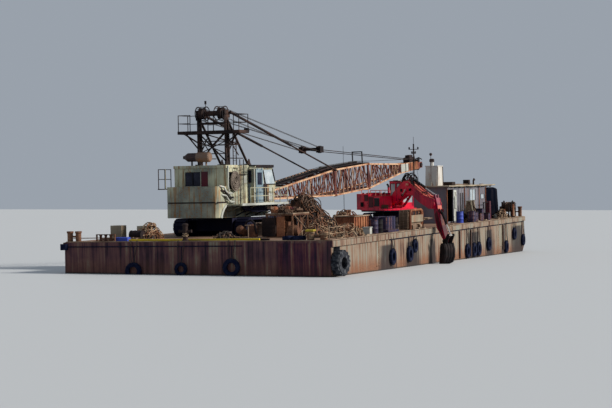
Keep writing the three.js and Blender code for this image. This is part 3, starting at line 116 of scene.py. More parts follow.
class Shape:
    """Gathers the closed forms of one piece, in real metres of the given place function."""

    def __init__(self, place=vessel):
        self.place = place
        self.points = []
        self.faces = []
        self.looks = []
        self.finish = 0

    def paint(self, finish):
        """Picks the finish, by its number in build's list, for all that is added from here on."""
        self.finish = finish
        return self

    def add(self, points, faces, smooth=False):
        first = len(self.points)
        self.points += [self.place(*point) for point in points]
        self.faces += [[first + i for i in face] for face in faces]
        self.looks += [(self.finish, smooth)] * len(faces)

    def box(self, low, high, chamfer=0.015):
        middle = [(a + b) / 2 for a, b in zip(low, high)]
        half = [(b - a) / 2 for a, b in zip(low, high)]
        cut = min(chamfer, 0.4 * min(half))
        corners = {}
        points = []
        for signs in [(i, j, k) for i in (-1, 1) for j in (-1, 1) for k in (-1, 1)]:
            for axis in range(3):
                corners[signs, axis] = len(points)
                points.append([middle[n] + signs[n] * (half[n] - (0 if n == axis else cut))
                    for n in range(3)])
        faces = []
        for axis in range(3):
            a, b = [n for n in range(3) if n != axis]
            for side in (-1, 1):
                ring = []
                for sa, sb in ((-1, -1), (1, -1), (1, 1), (-1, 1)):
                    signs = [0, 0, 0]
                    signs[axis], signs[a], signs[b] = side, sa, sb
                    ring.append(corners[tuple(signs), axis])
                faces.append(ring if (side > 0) == (axis != 1) else ring[::-1])
            for sa in (-1, 1):
                for sb in (-1, 1):
                    ends = []
                    for end in (-1, 1):
                        signs = [0, 0, 0]
                        signs[axis], signs[a], signs[b] = end, sa, sb
                        ends.append((corners[tuple(signs), a], corners[tuple(signs), b]))
                    ring = [ends[0][0], ends[1][0], ends[1][1], ends[0][1]]
                    faces.append(ring if (sa * sb > 0) != (axis != 1) else ring[::-1])
        for signs in [(i, j, k) for i in (-1, 1) for j in (-1, 1) for k in (-1, 1)]:
            ring = [corners[signs, n] for n in range(3)]
            faces.append(ring if signs[0] * signs[1] * signs[2] > 0 else ring[::-1])
        self.add(points, faces)

    def prism(self, axis, outline, low, high):
        """Outline in the two other axes, in order, drawn out along axis."""
        area = sum(a[0] * b[1] - b[0] * a[1] for a, b in zip(outline, outline[1:] + outline[:1]))
        ring = list(outline) if (area > 0) == (axis != 1) else list(outline)[::-1]
        count = len(ring)
        points = []
        for end in sorted((low, high)):
            for a, b in ring:
                points.append({0: (end, a, b), 1: (a, end, b), 2: (a, b, end)}[axis])
        faces = [list(range(count))[::-1], list(range(count, 2 * count))]
        faces += [[i, (i + 1) % count, count + (i + 1) % count, count + i] for i in range(count)]
        self.add(points, faces)

    def sweep(self, path, outline, closed=False, smooth=False, level=UP):
        """Carries a flat outline along a path, with no twist. The first side of it faces level."""
        path = [Vector(p) for p in path]
        count, sides = len(path), len(outline)
        ahead = []
        for i in range(count):
            if closed:
                step = path[(i + 1) % count] - path[i - 1]
            else:
                step = path[min(i + 1, count - 1)] - path[max(i - 1, 0)]
            ahead.append(step.normalized())
        up = Vector(level)
        if abs(up.dot(ahead[0])) > 0.95:
            up = Vector(ACROSS) if abs(ahead[0].y) < 0.9 else Vector(ALONG)
        side = up.cross(ahead[0]).normalized()
        points = []
        for i in range(count):
            side = (side - side.dot(ahead[i]) * ahead[i]).normalized()
            top = ahead[i].cross(side)
            points += [path[i] + side * a + top * b for a, b in outline]
        faces = []
        for i in range(count if closed else count - 1):
            near, far = i * sides, ((i + 1) % count) * sides
            faces += [[near + k, near + (k + 1) % sides, far + (k + 1) % sides, far + k]
                for k in range(sides)]
        if not closed:
            faces += [list(range(sides))[::-1], [(count - 1) * sides + k for k in range(sides)]]
        self.add(points, faces, smooth)

    def tube(self, path, radius, sides=8, closed=False):
        self.sweep(path, circle(radius, sides), closed, smooth=True)

    def bar(self, start, end, width, height=None):
        w, h = width / 2, (height or width) / 2
        self.sweep([start, end], oblong(w, h))

    def boxes(self, *boxes):
        for box in boxes:
            self.box(*box)

    def disc(self, radius, low, high, at, axis, segments):
        """Plain round from low to high along the axis."""
        self.turned([(0, low), (radius, low), (radius, high), (0, high)], at, axis, segments)

    def turned(self, profile, at, axis, segments=16, smooth=True):
        """Profile of radius and distance, revolved about the axis through at."""
        axis = Vector(axis).normalized()
        side = axis.orthogonal().normalized()
        top = axis.cross(side)
        at = Vector(at)
        loop = profile[0] == profile[-1]
        profile = profile[:-1] if loop else profile
        points, rings = [], []
        for radius, along in profile:
            if radius < 1e-6:
                rings.append([len(points)])
                points.append(at + axis * along)
                continue
            rings.append([len(points) + i for i in range(segments)])
            for i in range(segments):
                turn = 2 * pi * i / segments
                points.append(at + axis * along + (side * cos(turn) + top * sin(turn)) * radius)
        faces = []
        for a, b in zip(rings, rings[1:] + rings[:1] if loop else rings[1:]):
            for i in range(segments):
                k = (i + 1) % segments
                if len(a) == 1 and len(b) > 1:
                    faces.append([a[0], b[k], b[i]])
                elif len(b) == 1 and len(a) > 1:
                    faces.append([a[i], a[k], b[0]])
                elif len(a) > 1:
                    faces.append([a[i], a[k], b[k], b[i]])
        self.add(points, faces, smooth)

    def build(self, name, body, slot, finishes):
        mesh = bpy.data.meshes.new(name)
        mesh.from_pydata([tuple(p) for p in self.points], [], self.faces)
        mesh.polygons.foreach_set("material_index", [look[0] for look in self.looks])
        mesh.polygons.foreach_set("use_smooth", [look[1] for look in self.looks])
        for finish in finishes:
            mesh.materials.append(FINISHES[finish])
        mesh.update()
        piece = bpy.data.objects.new(name, mesh)
        bpy.context.scene.collection.objects.link(piece)
        if any(look[1] for look in self.looks):
            mesh.set_sharp_from_angle(angle=SOFT_EDGES)
        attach(piece, body)
        return piece


def circle(radius, sides, start=0):
    return [(radius * cos(start + 2 * pi * i / sides), radius * sin(start + 2 * pi * i / sides))
        for i in range(sides)]


def oblong(a, b):
    """Outline of a flat bar, from its half width and half height."""
    return [(-a, -b), (a, -b), (a, b), (-a, b)]


def between(a, b, share):
    return tuple(p + (q - p) * share for p, q in zip(a, b))


def hanging(a, b, sag, steps=10):
    """Points of a line from a to b that sags in the middle."""
    path = []
    for i in range(steps + 1):
        share = i / steps
        x, y, z = between(a, b, share)
        path.append((x, y, z - 4 * sag * share * (1 - share)))
    return path


# Finishes

class Value:
    """A number on a node's output, so that shader maths reads as an expression."""

    def __init__(self, finish, socket):
        self.finish = finish
        self.socket = socket

    def math(self, operation, a, b):
        return self.finish.node("ShaderNodeMath", {"operation": operation}, {0: a, 1: b})

    def __add__(self, other):
        return self.math("ADD", self, other)

    def __sub__(self, other):
        return self.math("SUBTRACT", self, other)

    def __rsub__(self, other):
        return self.math("SUBTRACT", other, self)

    def __mul__(self, other):
        return self.math("MULTIPLY", self, other)

    def __abs__(self):
        return self.math("ABSOLUTE", self, 0)

    __radd__ = __add__
    __rmul__ = __mul__


class Finish:
    """Builds one node material. Places in it are the model's own, which stay on a moving piece."""

    def __init__(self, name, roughness, metallic=0, coat=0, shine=0.25):
        self.name = name
        self.material = bpy.data.materials.new(name)
        self.material.use_nodes = True
        self.tree = self.material.node_tree
        self.tree.nodes.clear()
        self.shader = self.tree.nodes.new("ShaderNodeBsdfPrincipled")
        out = self.tree.nodes.new("ShaderNodeOutputMaterial")
        self.tree.links.new(self.shader.outputs[0], out.inputs[0])
        self.shader.inputs["Roughness"].default_value = roughness
        self.shader.inputs["Metallic"].default_value = metallic
        self.shader.inputs["Coat Weight"].default_value = coat
        self.shader.inputs["Specular IOR Level"].default_value = shine
        self.place = self.node("ShaderNodeTexCoord", {}, {}, "Object")

    def node(self, kind, settings, inputs, output=0):
        node = self.tree.nodes.new(kind)
        for name, value in settings.items():
            if name == "stops":
                stops = node.color_ramp.elements
                while len(stops) < len(value):
                    stops.new(0.5)
                for stop, (position, colour) in zip(stops, value):
                    stop.position = position
                    stop.color = (*colour, 1)
            else:
                setattr(node, name, value)
        for name, value in inputs.items():
            if isinstance(value, Value):
                self.tree.links.new(value.socket, node.inputs[name])
            else:
                node.inputs[name].default_value = value
        return Value(self, node.outputs[output])

    def scaled(self, x, y, z, place=None):
        return self.node("ShaderNodeVectorMath", {"operation": "MULTIPLY"}, {0: place or self.place,
            1: (x, y, z)})

    def noise(self, scale, detail=4, rough=0.55, place=None, distortion=0):
        return self.node("ShaderNodeTexNoise", {},
            {"Vector": place or self.place, "Scale": scale, "Detail": detail, "Roughness": rough,
            "Distortion": distortion})

    def rise(self, value, low, high):
        """0 below low, 1 above high and a soft step between."""
        return self.node("ShaderNodeMapRange", {"interpolation_type": "SMOOTHSTEP"},
            {"Value": value, "From Min": low, "From Max": high})

    def mix(self, share, a, b):
        a = (*a, 1) if isinstance(a, tuple) else a
        b = (*b, 1) if isinstance(b, tuple) else b
        return self.node("ShaderNodeMix", {"data_type": "RGBA"}, {0: share, 6: a, 7: b}, 2)

    def ramp(self, value, *stops):
        return self.node("ShaderNodeValToRGB", {"stops": stops}, {0: value})

    def axis(self, name):
        return self.node("ShaderNodeSeparateXYZ", {}, {0: self.place}, name)

    def facing(self, name):
        """The surface's own direction, as X, Y or Z of its normal in the rest pose."""
        normal = self.node("ShaderNodeTexCoord", {}, {}, "Normal")
        return self.node("ShaderNodeSeparateXYZ", {}, {0: normal}, name)

    def done(self, colour, roughness, height=None, strength=0.4, depth=0.004):
        """Joins colour, roughness and relief to the shader and keeps the finish under its name."""
        self.tree.links.new(colour.socket, self.shader.inputs["Base Color"])
        self.tree.links.new(roughness.socket, self.shader.inputs["Roughness"])
        if height:
            bump = self.node("ShaderNodeBump", {},
                {"Height": height, "Strength": strength, "Distance": depth})
            self.tree.links.new(bump.socket, self.shader.inputs["Normal"])
        FINISHES[self.name] = self.material


FINISHES = {}
RUST = (0.23, 0.085, 0.035)
# Places and half widths of near-black patches down the working side: partly painted shadow of the hanging
# tyres, partly stains.
TYRE_SHADOWS_AND_STAINS = ((11.6, 1.1), (17.9, 1.1), (23, 0.45), (27.5, 0.6), (35.6, 1.5), (41, 0.8), (46.5, 0.45),
    (52.2, 1.6))
DARK_RUST = (0.075, 0.03, 0.022)
ORANGE_RUST = (0.42, 0.16, 0.05)


def worn_paint(name, paint, shade, rust_share, streak_share, rust=RUST, roughness=0.6, other=None,
        faded_glare_tops=None):
    """Weathered paint: faded patches, streaks that run down and rust that breaks through.

    Where the other part is given, a function of the finish that returns a share, it is dark steel there.
    The bleached colour goes on faces that look up: partly paint faded by the sun, partly a painted highlight
    of the sun's glare."""
    f = Finish(name, roughness)
    patches = f.noise(0.9, 5)
    runs = f.noise(1, 6, 0.7, f.scaled(11, 11, 0.7))
    fine = f.noise(26, 6, 0.7)
    colour = f.mix(f.rise(patches, 0.38, 0.66), paint, shade)
    down = f.rise(runs, 0.66 - 0.25 * streak_share, 0.8 - 0.25 * streak_share)
    colour = f.mix(down * 0.85, colour, rust)
    breaks = f.rise(patches * 0.45 + fine * 0.55, 0.72 - 0.28 * rust_share, 0.78 - 0.28 * rust_share)
    colour = f.mix(breaks, colour, f.ramp(fine, (0.35, DARK_RUST), (0.6, rust), (0.8, ORANGE_RUST)))
    # Painted highlight mixed with fading: faces that look up take the bleached colour.
    if faded_glare_tops:
        colour = f.mix(f.rise(f.facing("Z"), 0.35, 0.75) * f.rise(patches, 0.3, 0.5), colour, faded_glare_tops)
    if other:
        colour = f.mix(other(f), colour, f.ramp(fine, (0.4, (0.02, 0.018, 0.022)), (0.7, DARK_RUST)))
    rough = f.rise(breaks + down * 0.5, 0, 1.4) * (0.92 - roughness) + roughness
    f.done(colour, rough, height=fine * 0.5 - breaks * 0.6, depth=0.003)


def rusty_steel(name, base, dark, light):
    f = Finish(name, 0.85, shine=0.12)
    patches = f.noise(1.6, 6, 0.6)
    fine = f.noise(34, 6, 0.7)
    colour = f.ramp(patches * 0.6 + fine * 0.4, (0.36, dark), (0.5, base), (0.66, light))
    f.done(colour, f.rise(fine, 0.2, 0.8) * 0.25 + 0.65, height=fine, strength=0.5)


def hull_plate(name):
    """Side plating: pale and rust streaked above, rusty at the waterline, weed below; at the near end a
    darker maroon, painted shade.
    """
    f = Finish(name, 0.85, 0.05)
    x, y, z = f.axis("X"), f.axis("Y"), f.axis("Z")
    water = (x + HULL_LENGTH / 4) * TRIM + (y + HULL_WIDTH / 4) * HEEL + DRAUGHT / 2
    above = z - water
    patches = f.noise(0.5, 5)
    runs = f.noise(1, 6, 0.68, f.scaled(7.5, 7.5, 0.3))
    fine = f.noise(22, 6, 0.7)
    faded = f.ramp(runs * 0.62 + patches * 0.38, (0.38, (0.02, 0.01, 0.01)), (0.44, (0.11, 0.055, 0.035)),
        (0.5, (0.2, 0.145, 0.105)), (0.56, (0.15, 0.155, 0.13)), (0.63, (0.28, 0.25, 0.2)))
    shaded = f.ramp(runs * 0.55 + patches * 0.45, (0.42, (0.006, 0.003, 0.012)),
        (0.47, (0.035, 0.008, 0.024)), (0.51, (0.075, 0.02, 0.028)), (0.55, (0.12, 0.05, 0.04)),
        (0.6, (0.16, 0.15, 0.11)))
    # Painted shade: the near end face, which stands in shadow, takes the darker shaded ramp in place of the
    # side's colours; its maroon hue is the paint's own.
    end = 1 - f.rise(x, -HULL_LENGTH / 4 - 0.01, -HULL_LENGTH / 4 + 0.03)
    colour = f.mix(end, faded, shaded)
    edge = above + (runs - 0.5) * 0.7
    band = (1 - f.rise(edge, 0.12, 0.55)) * (0.85 - end * 0.7)
    colour = f.mix(band, colour, f.ramp(fine, (0.35, (0.08, 0.03, 0.016)), (0.65, (0.2, 0.085, 0.04))))
    wet = 1 - f.rise(above + (fine - 0.5) * 0.06, 0, 0.07)
    colour = f.mix(wet, colour, (0.02, 0.019, 0.014))
    ragged = (runs - 0.5) * 2.2 + (patches - 0.5) * 1.3 + z * 0.34 - 0.45
    below = (1 - f.rise(z, 1.6, 1.69)) * (1 - end)
    # Near-black ragged patches below the strake around the hanging tyres: painted tyre shadow mixed with
    # stains.
    for u, half in TYRE_SHADOWS_AND_STAINS:
        spot = 1 - f.rise(abs(x - (u - HULL_LENGTH / 2) / 2) + ragged, half * 0.4, half)
        colour = f.mix(spot * below * 0.9, colour, (0.01, 0.008, 0.01))
    posts = (1 - f.rise(y, -HULL_WIDTH / 4 - 0.012, -HULL_WIDTH / 4 - 0.006)) * (1 - f.rise(z, 1.74, 1.78))
    colour = f.mix(posts * (1 - end), colour, f.ramp(fine, (0.4, (0.02, 0.014, 0.014)),
        (0.7, (0.1, 0.045, 0.03))))
    deck = f.rise(z, DECK / 2 - 0.012, DECK / 2 - 0.004)
    colour = f.mix(deck, colour, f.ramp(patches * 0.5 + fine * 0.5, (0.4, (0.06, 0.03, 0.022)),
        (0.52, (0.17, 0.1, 0.065)), (0.64, (0.28, 0.19, 0.135))))
    f.done(colour, f.rise(fine, 0.2, 0.8) * 0.2 + 0.72, height=fine * 0.5 + runs * 0.5, strength=0.5)


def left_of(distance):
    """Whatever lies further left on the crane than this, such as the porch beyond the left wall."""
    def share(f):
        c, n = cos(CRANE_HEADING), sin(CRANE_HEADING)
        middle = crane(0, distance, 0)
        across = f.axis("X") * -n + f.axis("Y") * c
        return f.rise(across, middle.y * c - middle.x * n, middle.y * c - middle.x * n + 0.02)
    return share


def above_roof(f):
    return f.rise(f.axis("Z"), (DECK + 3.2) / 2, (DECK + 3.25) / 2)


def lattice_paint(name, chords, laces):
    """Tan chords, dark laces between them and a black guide frame."""
    f = Finish(name, 0.75)
    x, y, z = f.axis("X"), f.axis("Y"), f.axis("Z")
    foot = crane(BOOM_FOOT[0], 0, BOOM_FOOT[1])
    c, n = cos(CRANE_HEADING), sin(CRANE_HEADING)
    out = (x - foot.x) * c + (y - foot.y) * n
    across = abs((y - foot.y) * c - (x - foot.x) * n)
    rise, fall = cos(BOOM_ANGLE), sin(BOOM_ANGLE)
    along = out * rise + (z - foot.z) * fall
    up = (z - foot.z) * rise - out * fall

    def sloped(low, high, start, end):
        return f.node("ShaderNodeMapRange", {}, {"Value": along, "From Min": low / 2, "From Max": high / 2,
            "To Min": start / 2, "To Max": end / 2})
    depth = sloped(0.5, 12.19, 0.18, 0.925) - sloped(18.29, 26, 0, 0.555)
    width = sloped(18.29, 26, 0.95, 0.35)
    chord = f.rise(abs(up) - depth, -0.038, -0.03) * f.rise(across - width, -0.038, -0.03)
    fine = f.noise(30, 6, 0.7)
    patches = f.noise(3, 5)
    pale = f.mix(f.rise(fine * 0.5 + patches * 0.5, 0.45, 0.6), chords, (0.24, 0.09, 0.045))
    dark = f.ramp(fine * 0.5 + patches * 0.5, (0.38, (0.03, 0.012, 0.014)), (0.52, laces),
        (0.62, (0.3, 0.11, 0.06)))
    colour = f.mix(chord, dark, pale)
    guide = f.rise(up, 0.49, 0.5) * f.rise(along, 9.1, 9.12) * (1 - f.rise(along, 9.6, 9.7))
    colour = f.mix(guide, colour, (0.014, 0.012, 0.014))
    f.done(colour, f.rise(fine, 0.2, 0.8) * 0.2 + 0.68, height=fine, strength=0.4)


def rubber(name, base, light):
    f = Finish(name, 0.85, shine=0.1)
    dust = f.noise(9, 5)
    fine = f.noise(60, 4)
    colour = f.mix(f.rise(dust * 0.7 + fine * 0.3, 0.42, 0.68), base, light)
    f.done(colour, f.rise(fine, 0.2, 0.8) * 0.2 + 0.75, height=fine, strength=0.3)


def glass(name, base, film, coat=0.4, shine=0.5):
    f = Finish(name, 0.12, 0, coat, shine)
    smear = f.noise(4, 4)
    colour = f.mix(f.rise(smear, 0.4, 0.7), base, film)
    f.done(colour, f.rise(smear, 0.3, 0.8) * 0.25 + 0.08)


def timber(name, base, dark, grain=(2, 2, 24)):
    f = Finish(name, 0.85)
    rings = f.noise(1.6, 6, 0.65, f.scaled(*grain), 0.4)
    age = f.noise(1.4, 4)
    colour = f.mix(f.rise(rings, 0.35, 0.65), base, dark)
    colour = f.mix(f.rise(age, 0.5, 0.75) * 0.5, colour, (0.22, 0.19, 0.17))
    f.done(colour, f.rise(rings, 0.2, 0.8) * 0.2 + 0.7, height=rings, strength=0.5)


def wire_rope(name, base, dark):
    """Strands show as fine slanting ridges."""
    f = Finish(name, 0.75, 0.3)
    lay = f.node("ShaderNodeTexWave", {"bands_direction": "DIAGONAL"},
        {"Vector": f.place, "Scale": 55, "Distortion": 2, "Detail": 2}, "Fac")
    age = f.noise(3, 5)
    colour = f.mix(f.rise(lay * 0.5 + age * 0.5, 0.3, 0.7), dark, base)
    f.done(colour, f.rise(age, 0.2, 0.8) * 0.3 + 0.55, height=lay, strength=0.6, depth=0.002)


def tarpaulin(name):
    f = Finish(name, 0.8, shine=0)
    folds = f.noise(3.4, 6, 0.6, f.scaled(1, 1, 0.22), 0.8)
    fine = f.noise(70, 3)
    dust = f.noise(1.1, 5)
    colour = f.mix(f.rise(dust * 0.4 + folds * 0.4 + fine * 0.2, 0.48, 0.66), (0.002, 0.003, 0.007),
        (0.013, 0.012, 0.017))
    f.done(colour, f.rise(dust, 0.3, 0.7) * 0.3 + 0.45, height=folds + fine * 0.1, strength=0.9, depth=0.03)


def chrome(name):
    f = Finish(name, 0.2, 0.9, 0, 0.5)
    film = f.noise(20, 5, 0.6)
    colour = f.mix(f.rise(film, 0.45, 0.75), (0.62, 0.62, 0.6), (0.25, 0.19, 0.15))
    f.done(colour, f.rise(film, 0.3, 0.7) * 0.3 + 0.12)


def make_finishes():
    hull_plate("hull_plate")
    rubber("fender_rubber", (0.002, 0.004, 0.018), (0.01, 0.014, 0.036))
    wire_rope("old_rope", (0.2, 0.165, 0.135), (0.085, 0.068, 0.06))
    rubber("grey_rubber", (0.01, 0.012, 0.018), (0.075, 0.08, 0.09))
    rusty_steel("deck_steel", (0.11, 0.05, 0.03), (0.02, 0.011, 0.011), (0.25, 0.14, 0.085))
    rusty_steel("pale_steel", (0.19, 0.135, 0.095), (0.06, 0.032, 0.022), (0.32, 0.25, 0.19))
    worn_paint("cream_paint", (0.3, 0.265, 0.19), (0.17, 0.14, 0.1), 0.5, 0.5)
    worn_paint("house_paint", (0.085, 0.085, 0.105), (0.14, 0.135, 0.155), 0.28, 0.4)
    worn_paint("white_paint", (0.42, 0.44, 0.41), (0.24, 0.25, 0.23), 0.34, 0.36, roughness=0.45)
    tarpaulin("tarpaulin")
    worn_paint("funnel_paint", (0.47, 0.46, 0.435), (0.32, 0.31, 0.29), 0.36, 0.48)
    rusty_steel("oily_steel", (0.018, 0.012, 0.012), (0.004, 0.004, 0.006), (0.06, 0.032, 0.024))
    worn_paint("drum_paint", (0.01, 0.01, 0.045), (0.03, 0.018, 0.035), 0.6, 0.5)
    timber("old_timber", (0.2, 0.13, 0.085), (0.08, 0.05, 0.035))
    rusty_steel("track_steel", (0.005, 0.006, 0.022), (0.002, 0.002, 0.009), (0.022, 0.015, 0.022))
    worn_paint("crane_paint", (0.42, 0.42, 0.3), (0.14, 0.165, 0.145), 0.56, 0.66, rust=(0.22, 0.11, 0.035),
        other=left_of(2))
    lattice_paint("boom_paint", (0.5, 0.32, 0.2), (0.09, 0.02, 0.018))
    worn_paint("chord_paint", (0.46, 0.3, 0.2), (0.26, 0.115, 0.065), 0.5, 0.4, rust=(0.18, 0.06, 0.03))
    worn_paint("lace_paint", (0.38, 0.23, 0.18), (0.17, 0.05, 0.035), 0.5, 0.5, rust=(0.09, 0.018, 0.016))
    # Blue-grey for the crane cab's door and lower panels: painted shade.
    worn_paint("shade_blue_paint", (0.1, 0.155, 0.2), (0.2, 0.26, 0.29), 0.3, 0.3)
    worn_paint("roof_paint", (0.36, 0.32, 0.24), (0.22, 0.19, 0.14), 0.42, 0.45, other=above_roof)
    # Its upward faces turn pale pink: faded paint and a painted highlight of sun glare.
    worn_paint("red_paint", (0.72, 0, 0.036), (0.2, 0, 0.03), 0.38, 0.55, rust=(0.035, 0.002, 0.022),
        roughness=0.45, faded_glare_tops=(0.55, 0.12, 0.08))
    worn_paint("stick_paint", (0.42, 0, 0.03), (0.1, 0, 0.03), 0.4, 0.62, rust=(0.02, 0.003, 0.018),
        roughness=0.5)
    # Pale pink for the excavator's top plates and rails: faded red with a painted highlight of sun glare.
    worn_paint("glare_pink_paint", (0.66, 0.2, 0.14), (0.46, 0.07, 0.05), 0.25, 0.3, rust=(0.35, 0.02, 0.02))
    worn_paint("red_panel", (0.09, 0.004, 0.012), (0.04, 0.004, 0.012), 0.42, 0.4)
    worn_paint("yellow_paint", (0.5, 0.37, 0.008), (0.26, 0.2, 0.02), 0.35, 0.35)
    worn_paint("blue_paint", (0.03, 0.06, 0.36), (0.03, 0.05, 0.22), 0.25, 0.3)
    chrome("chrome")
    worn_paint("silencer_rust", (0.13, 0.1, 0.08), (0.2, 0.09, 0.045), 0.6, 0.5, other=left_of(0.6))
    rusty_steel("black_steel", (0.011, 0.009, 0.011), (0.004, 0.004, 0.006), (0.045, 0.022, 0.02))
    glass("glass", (0.004, 0.005, 0.016), (0.016, 0.018, 0.034), 0, 0.15)
    wire_rope("wire_rope", (0.19, 0.115, 0.075), (0.03, 0.018, 0.016))
    wire_rope("rusty_rope", (0.3, 0.135, 0.07), (0.05, 0.024, 0.018))
    rusty_steel("rusty_plate", (0.17, 0.058, 0.03), (0.045, 0.016, 0.013), (0.34, 0.15, 0.075))
    # Pale blue-grey panes: a painted reflection of the sky.
    glass("sky_reflection_glass", (0.3, 0.36, 0.4), (0.42, 0.47, 0.5))
    wire_rope("rigging", (0.045, 0.035, 0.032), (0.012, 0.011, 0.012))
    wire_rope("fibre_rope", (0.46, 0.33, 0.21), (0.1, 0.055, 0.035))


NODE_FINISHES = {
    "hull_plate": ["hull"],
    "fender_rubber": ["end_fenders", "side_fenders"],
    "grey_rubber": ["corner_tyre"],
    "deck_steel": [
        "bitts_near_port", "bitts_near_working", "bitts_far_port", "bitts_far_working", "fairlead_port",
        "machinery_platform", "wire_heap",
    ],
    "pale_steel": ["winch_frame", "windlass_frame"],
    "oily_steel": [
        "winch_drum", "windlass_drum", "crane_gantry", "gantry_sheaves", "backstop_tubes",
        "backstop_rod_left", "backstop_rod_right", "pendants", "boom_head_sheave", "mast",
    ],
    "house_paint": ["deckhouse_walls"],
    "cream_paint": ["deck_boxes"],
    "roof_paint": ["deckhouse_roof"],
    "white_paint": ["deckhouse_door"],
    "tarpaulin": ["shelter"],
    "funnel_paint": ["funnel"],
    "silencer_rust": ["silencer"],
    "drum_paint": ["drum_pallet"],
    "old_timber": ["crate"],
    "track_steel": [
        "crane_track_left", "crane_track_right", "crane_undercarriage", "digger_track_left",
        "digger_track_right", "digger_undercarriage",
    ],
    "crane_paint": ["crane_bed", "crane_counterweight", "crane_house", "crane_cab"],
    # The crane cab's door is painted blue-grey, as painted shade.
    "shade_blue_paint": ["crane_cab_door"],
    "boom_paint": ["boom_base", "boom_insert", "boom_tip"],
    "red_paint": [
        "digger_house", "digger_counterweight", "digger_boom", "digger_cab", "digger_cab_door",
        "digger_boom_cylinders",
    ],
    "stick_paint": ["digger_stick"],
    "black_steel": ["digger_stick_cylinder", "digger_bucket_cylinder", "digger_bucket"],
    "chrome": ["digger_boom_rod_left", "digger_boom_rod_right", "digger_stick_rod", "digger_bucket_rod"],
}


# What a user may change

class HullSettings(PropertyGroup):
    deck_planks: IntProperty(name="Deck Planks", description="Loose boards that lie on the deck", default=14,
        min=0, max=60)


class RiggingSettings(PropertyGroup):
    rope_radius: FloatProperty(name="Rope Radius", description="Radius of the crane's running ropes",
        default=0.008, unit="LENGTH")
    fall_parts: IntProperty(name="Parts of Rope", description="Ropes between the gantry and the spreader",
        default=8, min=2, max=12)


class StageSettings(PropertyGroup):
    lens: FloatProperty(name="Lens", description="Focal length in millimetres", default=100)
    floor_colour: FloatVectorProperty(name="Floor Colour", description="Colour of the plain floor",
        subtype="COLOR", size=3, default=(0.43, 0.45, 0.47))


# Operators

def operator(cls):
    OPERATORS.append(cls)
    return cls


OPERATORS = []


@operator
class DREDGER_OT_finishes(Operator):
    """Make the finishes and put them on the frame's own nodes"""
    bl_idname = "dredger.finishes"
    bl_label = "Finishes"

    def execute(self, context):
        dress_nodes()
        return {"FINISHED"}


def dress_nodes():
    make_finishes()
    for finish, nodes in NODE_FINISHES.items():
        for name in nodes:
            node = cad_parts[name]
            for slot in node.material_slots:
                slot.material = FINISHES[finish]


# Pieces on the pontoon

def loop(rng, centre, radius, normal, wobble, steps=16):
    """Points of a rough ring of rope."""
    normal = Vector(normal).normalized()
    side = normal.orthogonal().normalized()
    top = normal.cross(side)
    phase, bend, stretch = rng.uniform(0, 6.3), rng.uniform(0, 6.3), rng.uniform(0.5, 1)
    points = []
    for i in range(steps):
        turn = 2 * pi * i / steps
        reach = radius * (1 + 0.14 * sin(2 * turn + phase) + 0.07 * sin(3 * turn + bend))
        points.append(Vector(centre) + side * cos(turn) * reach + top * sin(turn) * reach * stretch
            + normal * wobble * sin(2 * turn + bend))
    return points


def tangle(shape, rng, centre, size, count, radii, thickness, lean=0, ceiling=None, finishes=(0,)):
    """Rope in loose rings that lie over a heap: size is its half length, half width and height."""
    for _ in range(count):
        turn = rng.uniform(0, 2 * pi)
        out = 0.97 * sqrt(rng.random())
        level = min(1, max(0, (0.99 - out) / 0.8)) ** 0.87
        x = centre[0] + size[0] * out * cos(turn)
        y = centre[1] + size[1] * out * sin(turn) + lean * level
        steep = 0.9 * size[2] / min(size[0], size[1])
        normal = (steep * cos(turn) + rng.uniform(-0.5, 0.5), steep * sin(turn) + rng.uniform(-0.5, 0.5), 1)
        ring = loop(rng, (x, y, size[2] * level), rng.uniform(*radii), normal, rng.uniform(0.02, 0.14))
        shape.finish = rng.choice(finishes)
        path = []
        for p in ring:
            top = ceiling(p.x, p.y) if ceiling else OPEN_AIR
            path.append((p.x, p.y, max(thickness, min(p.z, top))))
        shape.tube(path, thickness * rng.uniform(0.75, 1.25), 5, closed=True)


def lump(shape, rng, centre, size, rings=5, spokes=16):
    """The solid middle of a heap."""
    points = [(centre[0], centre[1], 0.005)]
    for ring in range(rings + 1):
        level = ring / rings
        for i in range(spokes):
            turn = 2 * pi * i / spokes
            share = (1 - 0.8 * level ** 1.2) * rng.uniform(0.86, 1)
            points.append((centre[0] + size[0] * share * cos(turn), centre[1] + size[1] * share * sin(turn),
                0.01 + size[2] * 0.92 * level * rng.uniform(0.9, 1.04)))
    points.append((centre[0], centre[1], size[2]))
    faces = []
    for i in range(spokes):
        k = (i + 1) % spokes
        faces.append([0, 1 + k, 1 + i])
        for ring in range(rings):
            a, b = 1 + ring * spokes, 1 + (ring + 1) * spokes
            faces.append([a + i, a + k, b + k, b + i])
        faces.append([1 + rings * spokes + i, 1 + rings * spokes + k, len(points) - 1])
    shape.add(points, faces, smooth=True)


def plank(shape, rng, middle, length, heading, width=0.22, thick=0.045, tilt=0):
    c, s = cos(heading), sin(heading)
    half = length / 2
    a = (middle[0] - c * half, middle[1] - s * half, middle[2] - tilt * half)
    b = (middle[0] + c * half, middle[1] + s * half, middle[2] + tilt * half)
    shape.bar(a, b, width * rng.uniform(0.8, 1.2), thick)


def drum(shape, at, axis=UP, radius=0.29, height=0.88):
    """Steel drum with rims and two rolling hoops."""
    r, h = radius, height
    profile = [(0, 0.015), (r - 0.02, 0.015), (r - 0.02, 0), (r, 0), (r, 0.03), (r - 0.012, 0.04)]
    for hoop in (0.34 * h, 0.66 * h):
        profile += [(r - 0.012, hoop - 0.03), (r + 0.006, hoop), (r - 0.012, hoop + 0.03)]
    profile += [(r - 0.012, h - 0.04), (r, h - 0.03), (r, h), (r - 0.02, h), (r - 0.02, h - 0.015),
        (0, h - 0.015)]
    shape.turned(profile, at, axis, 20)


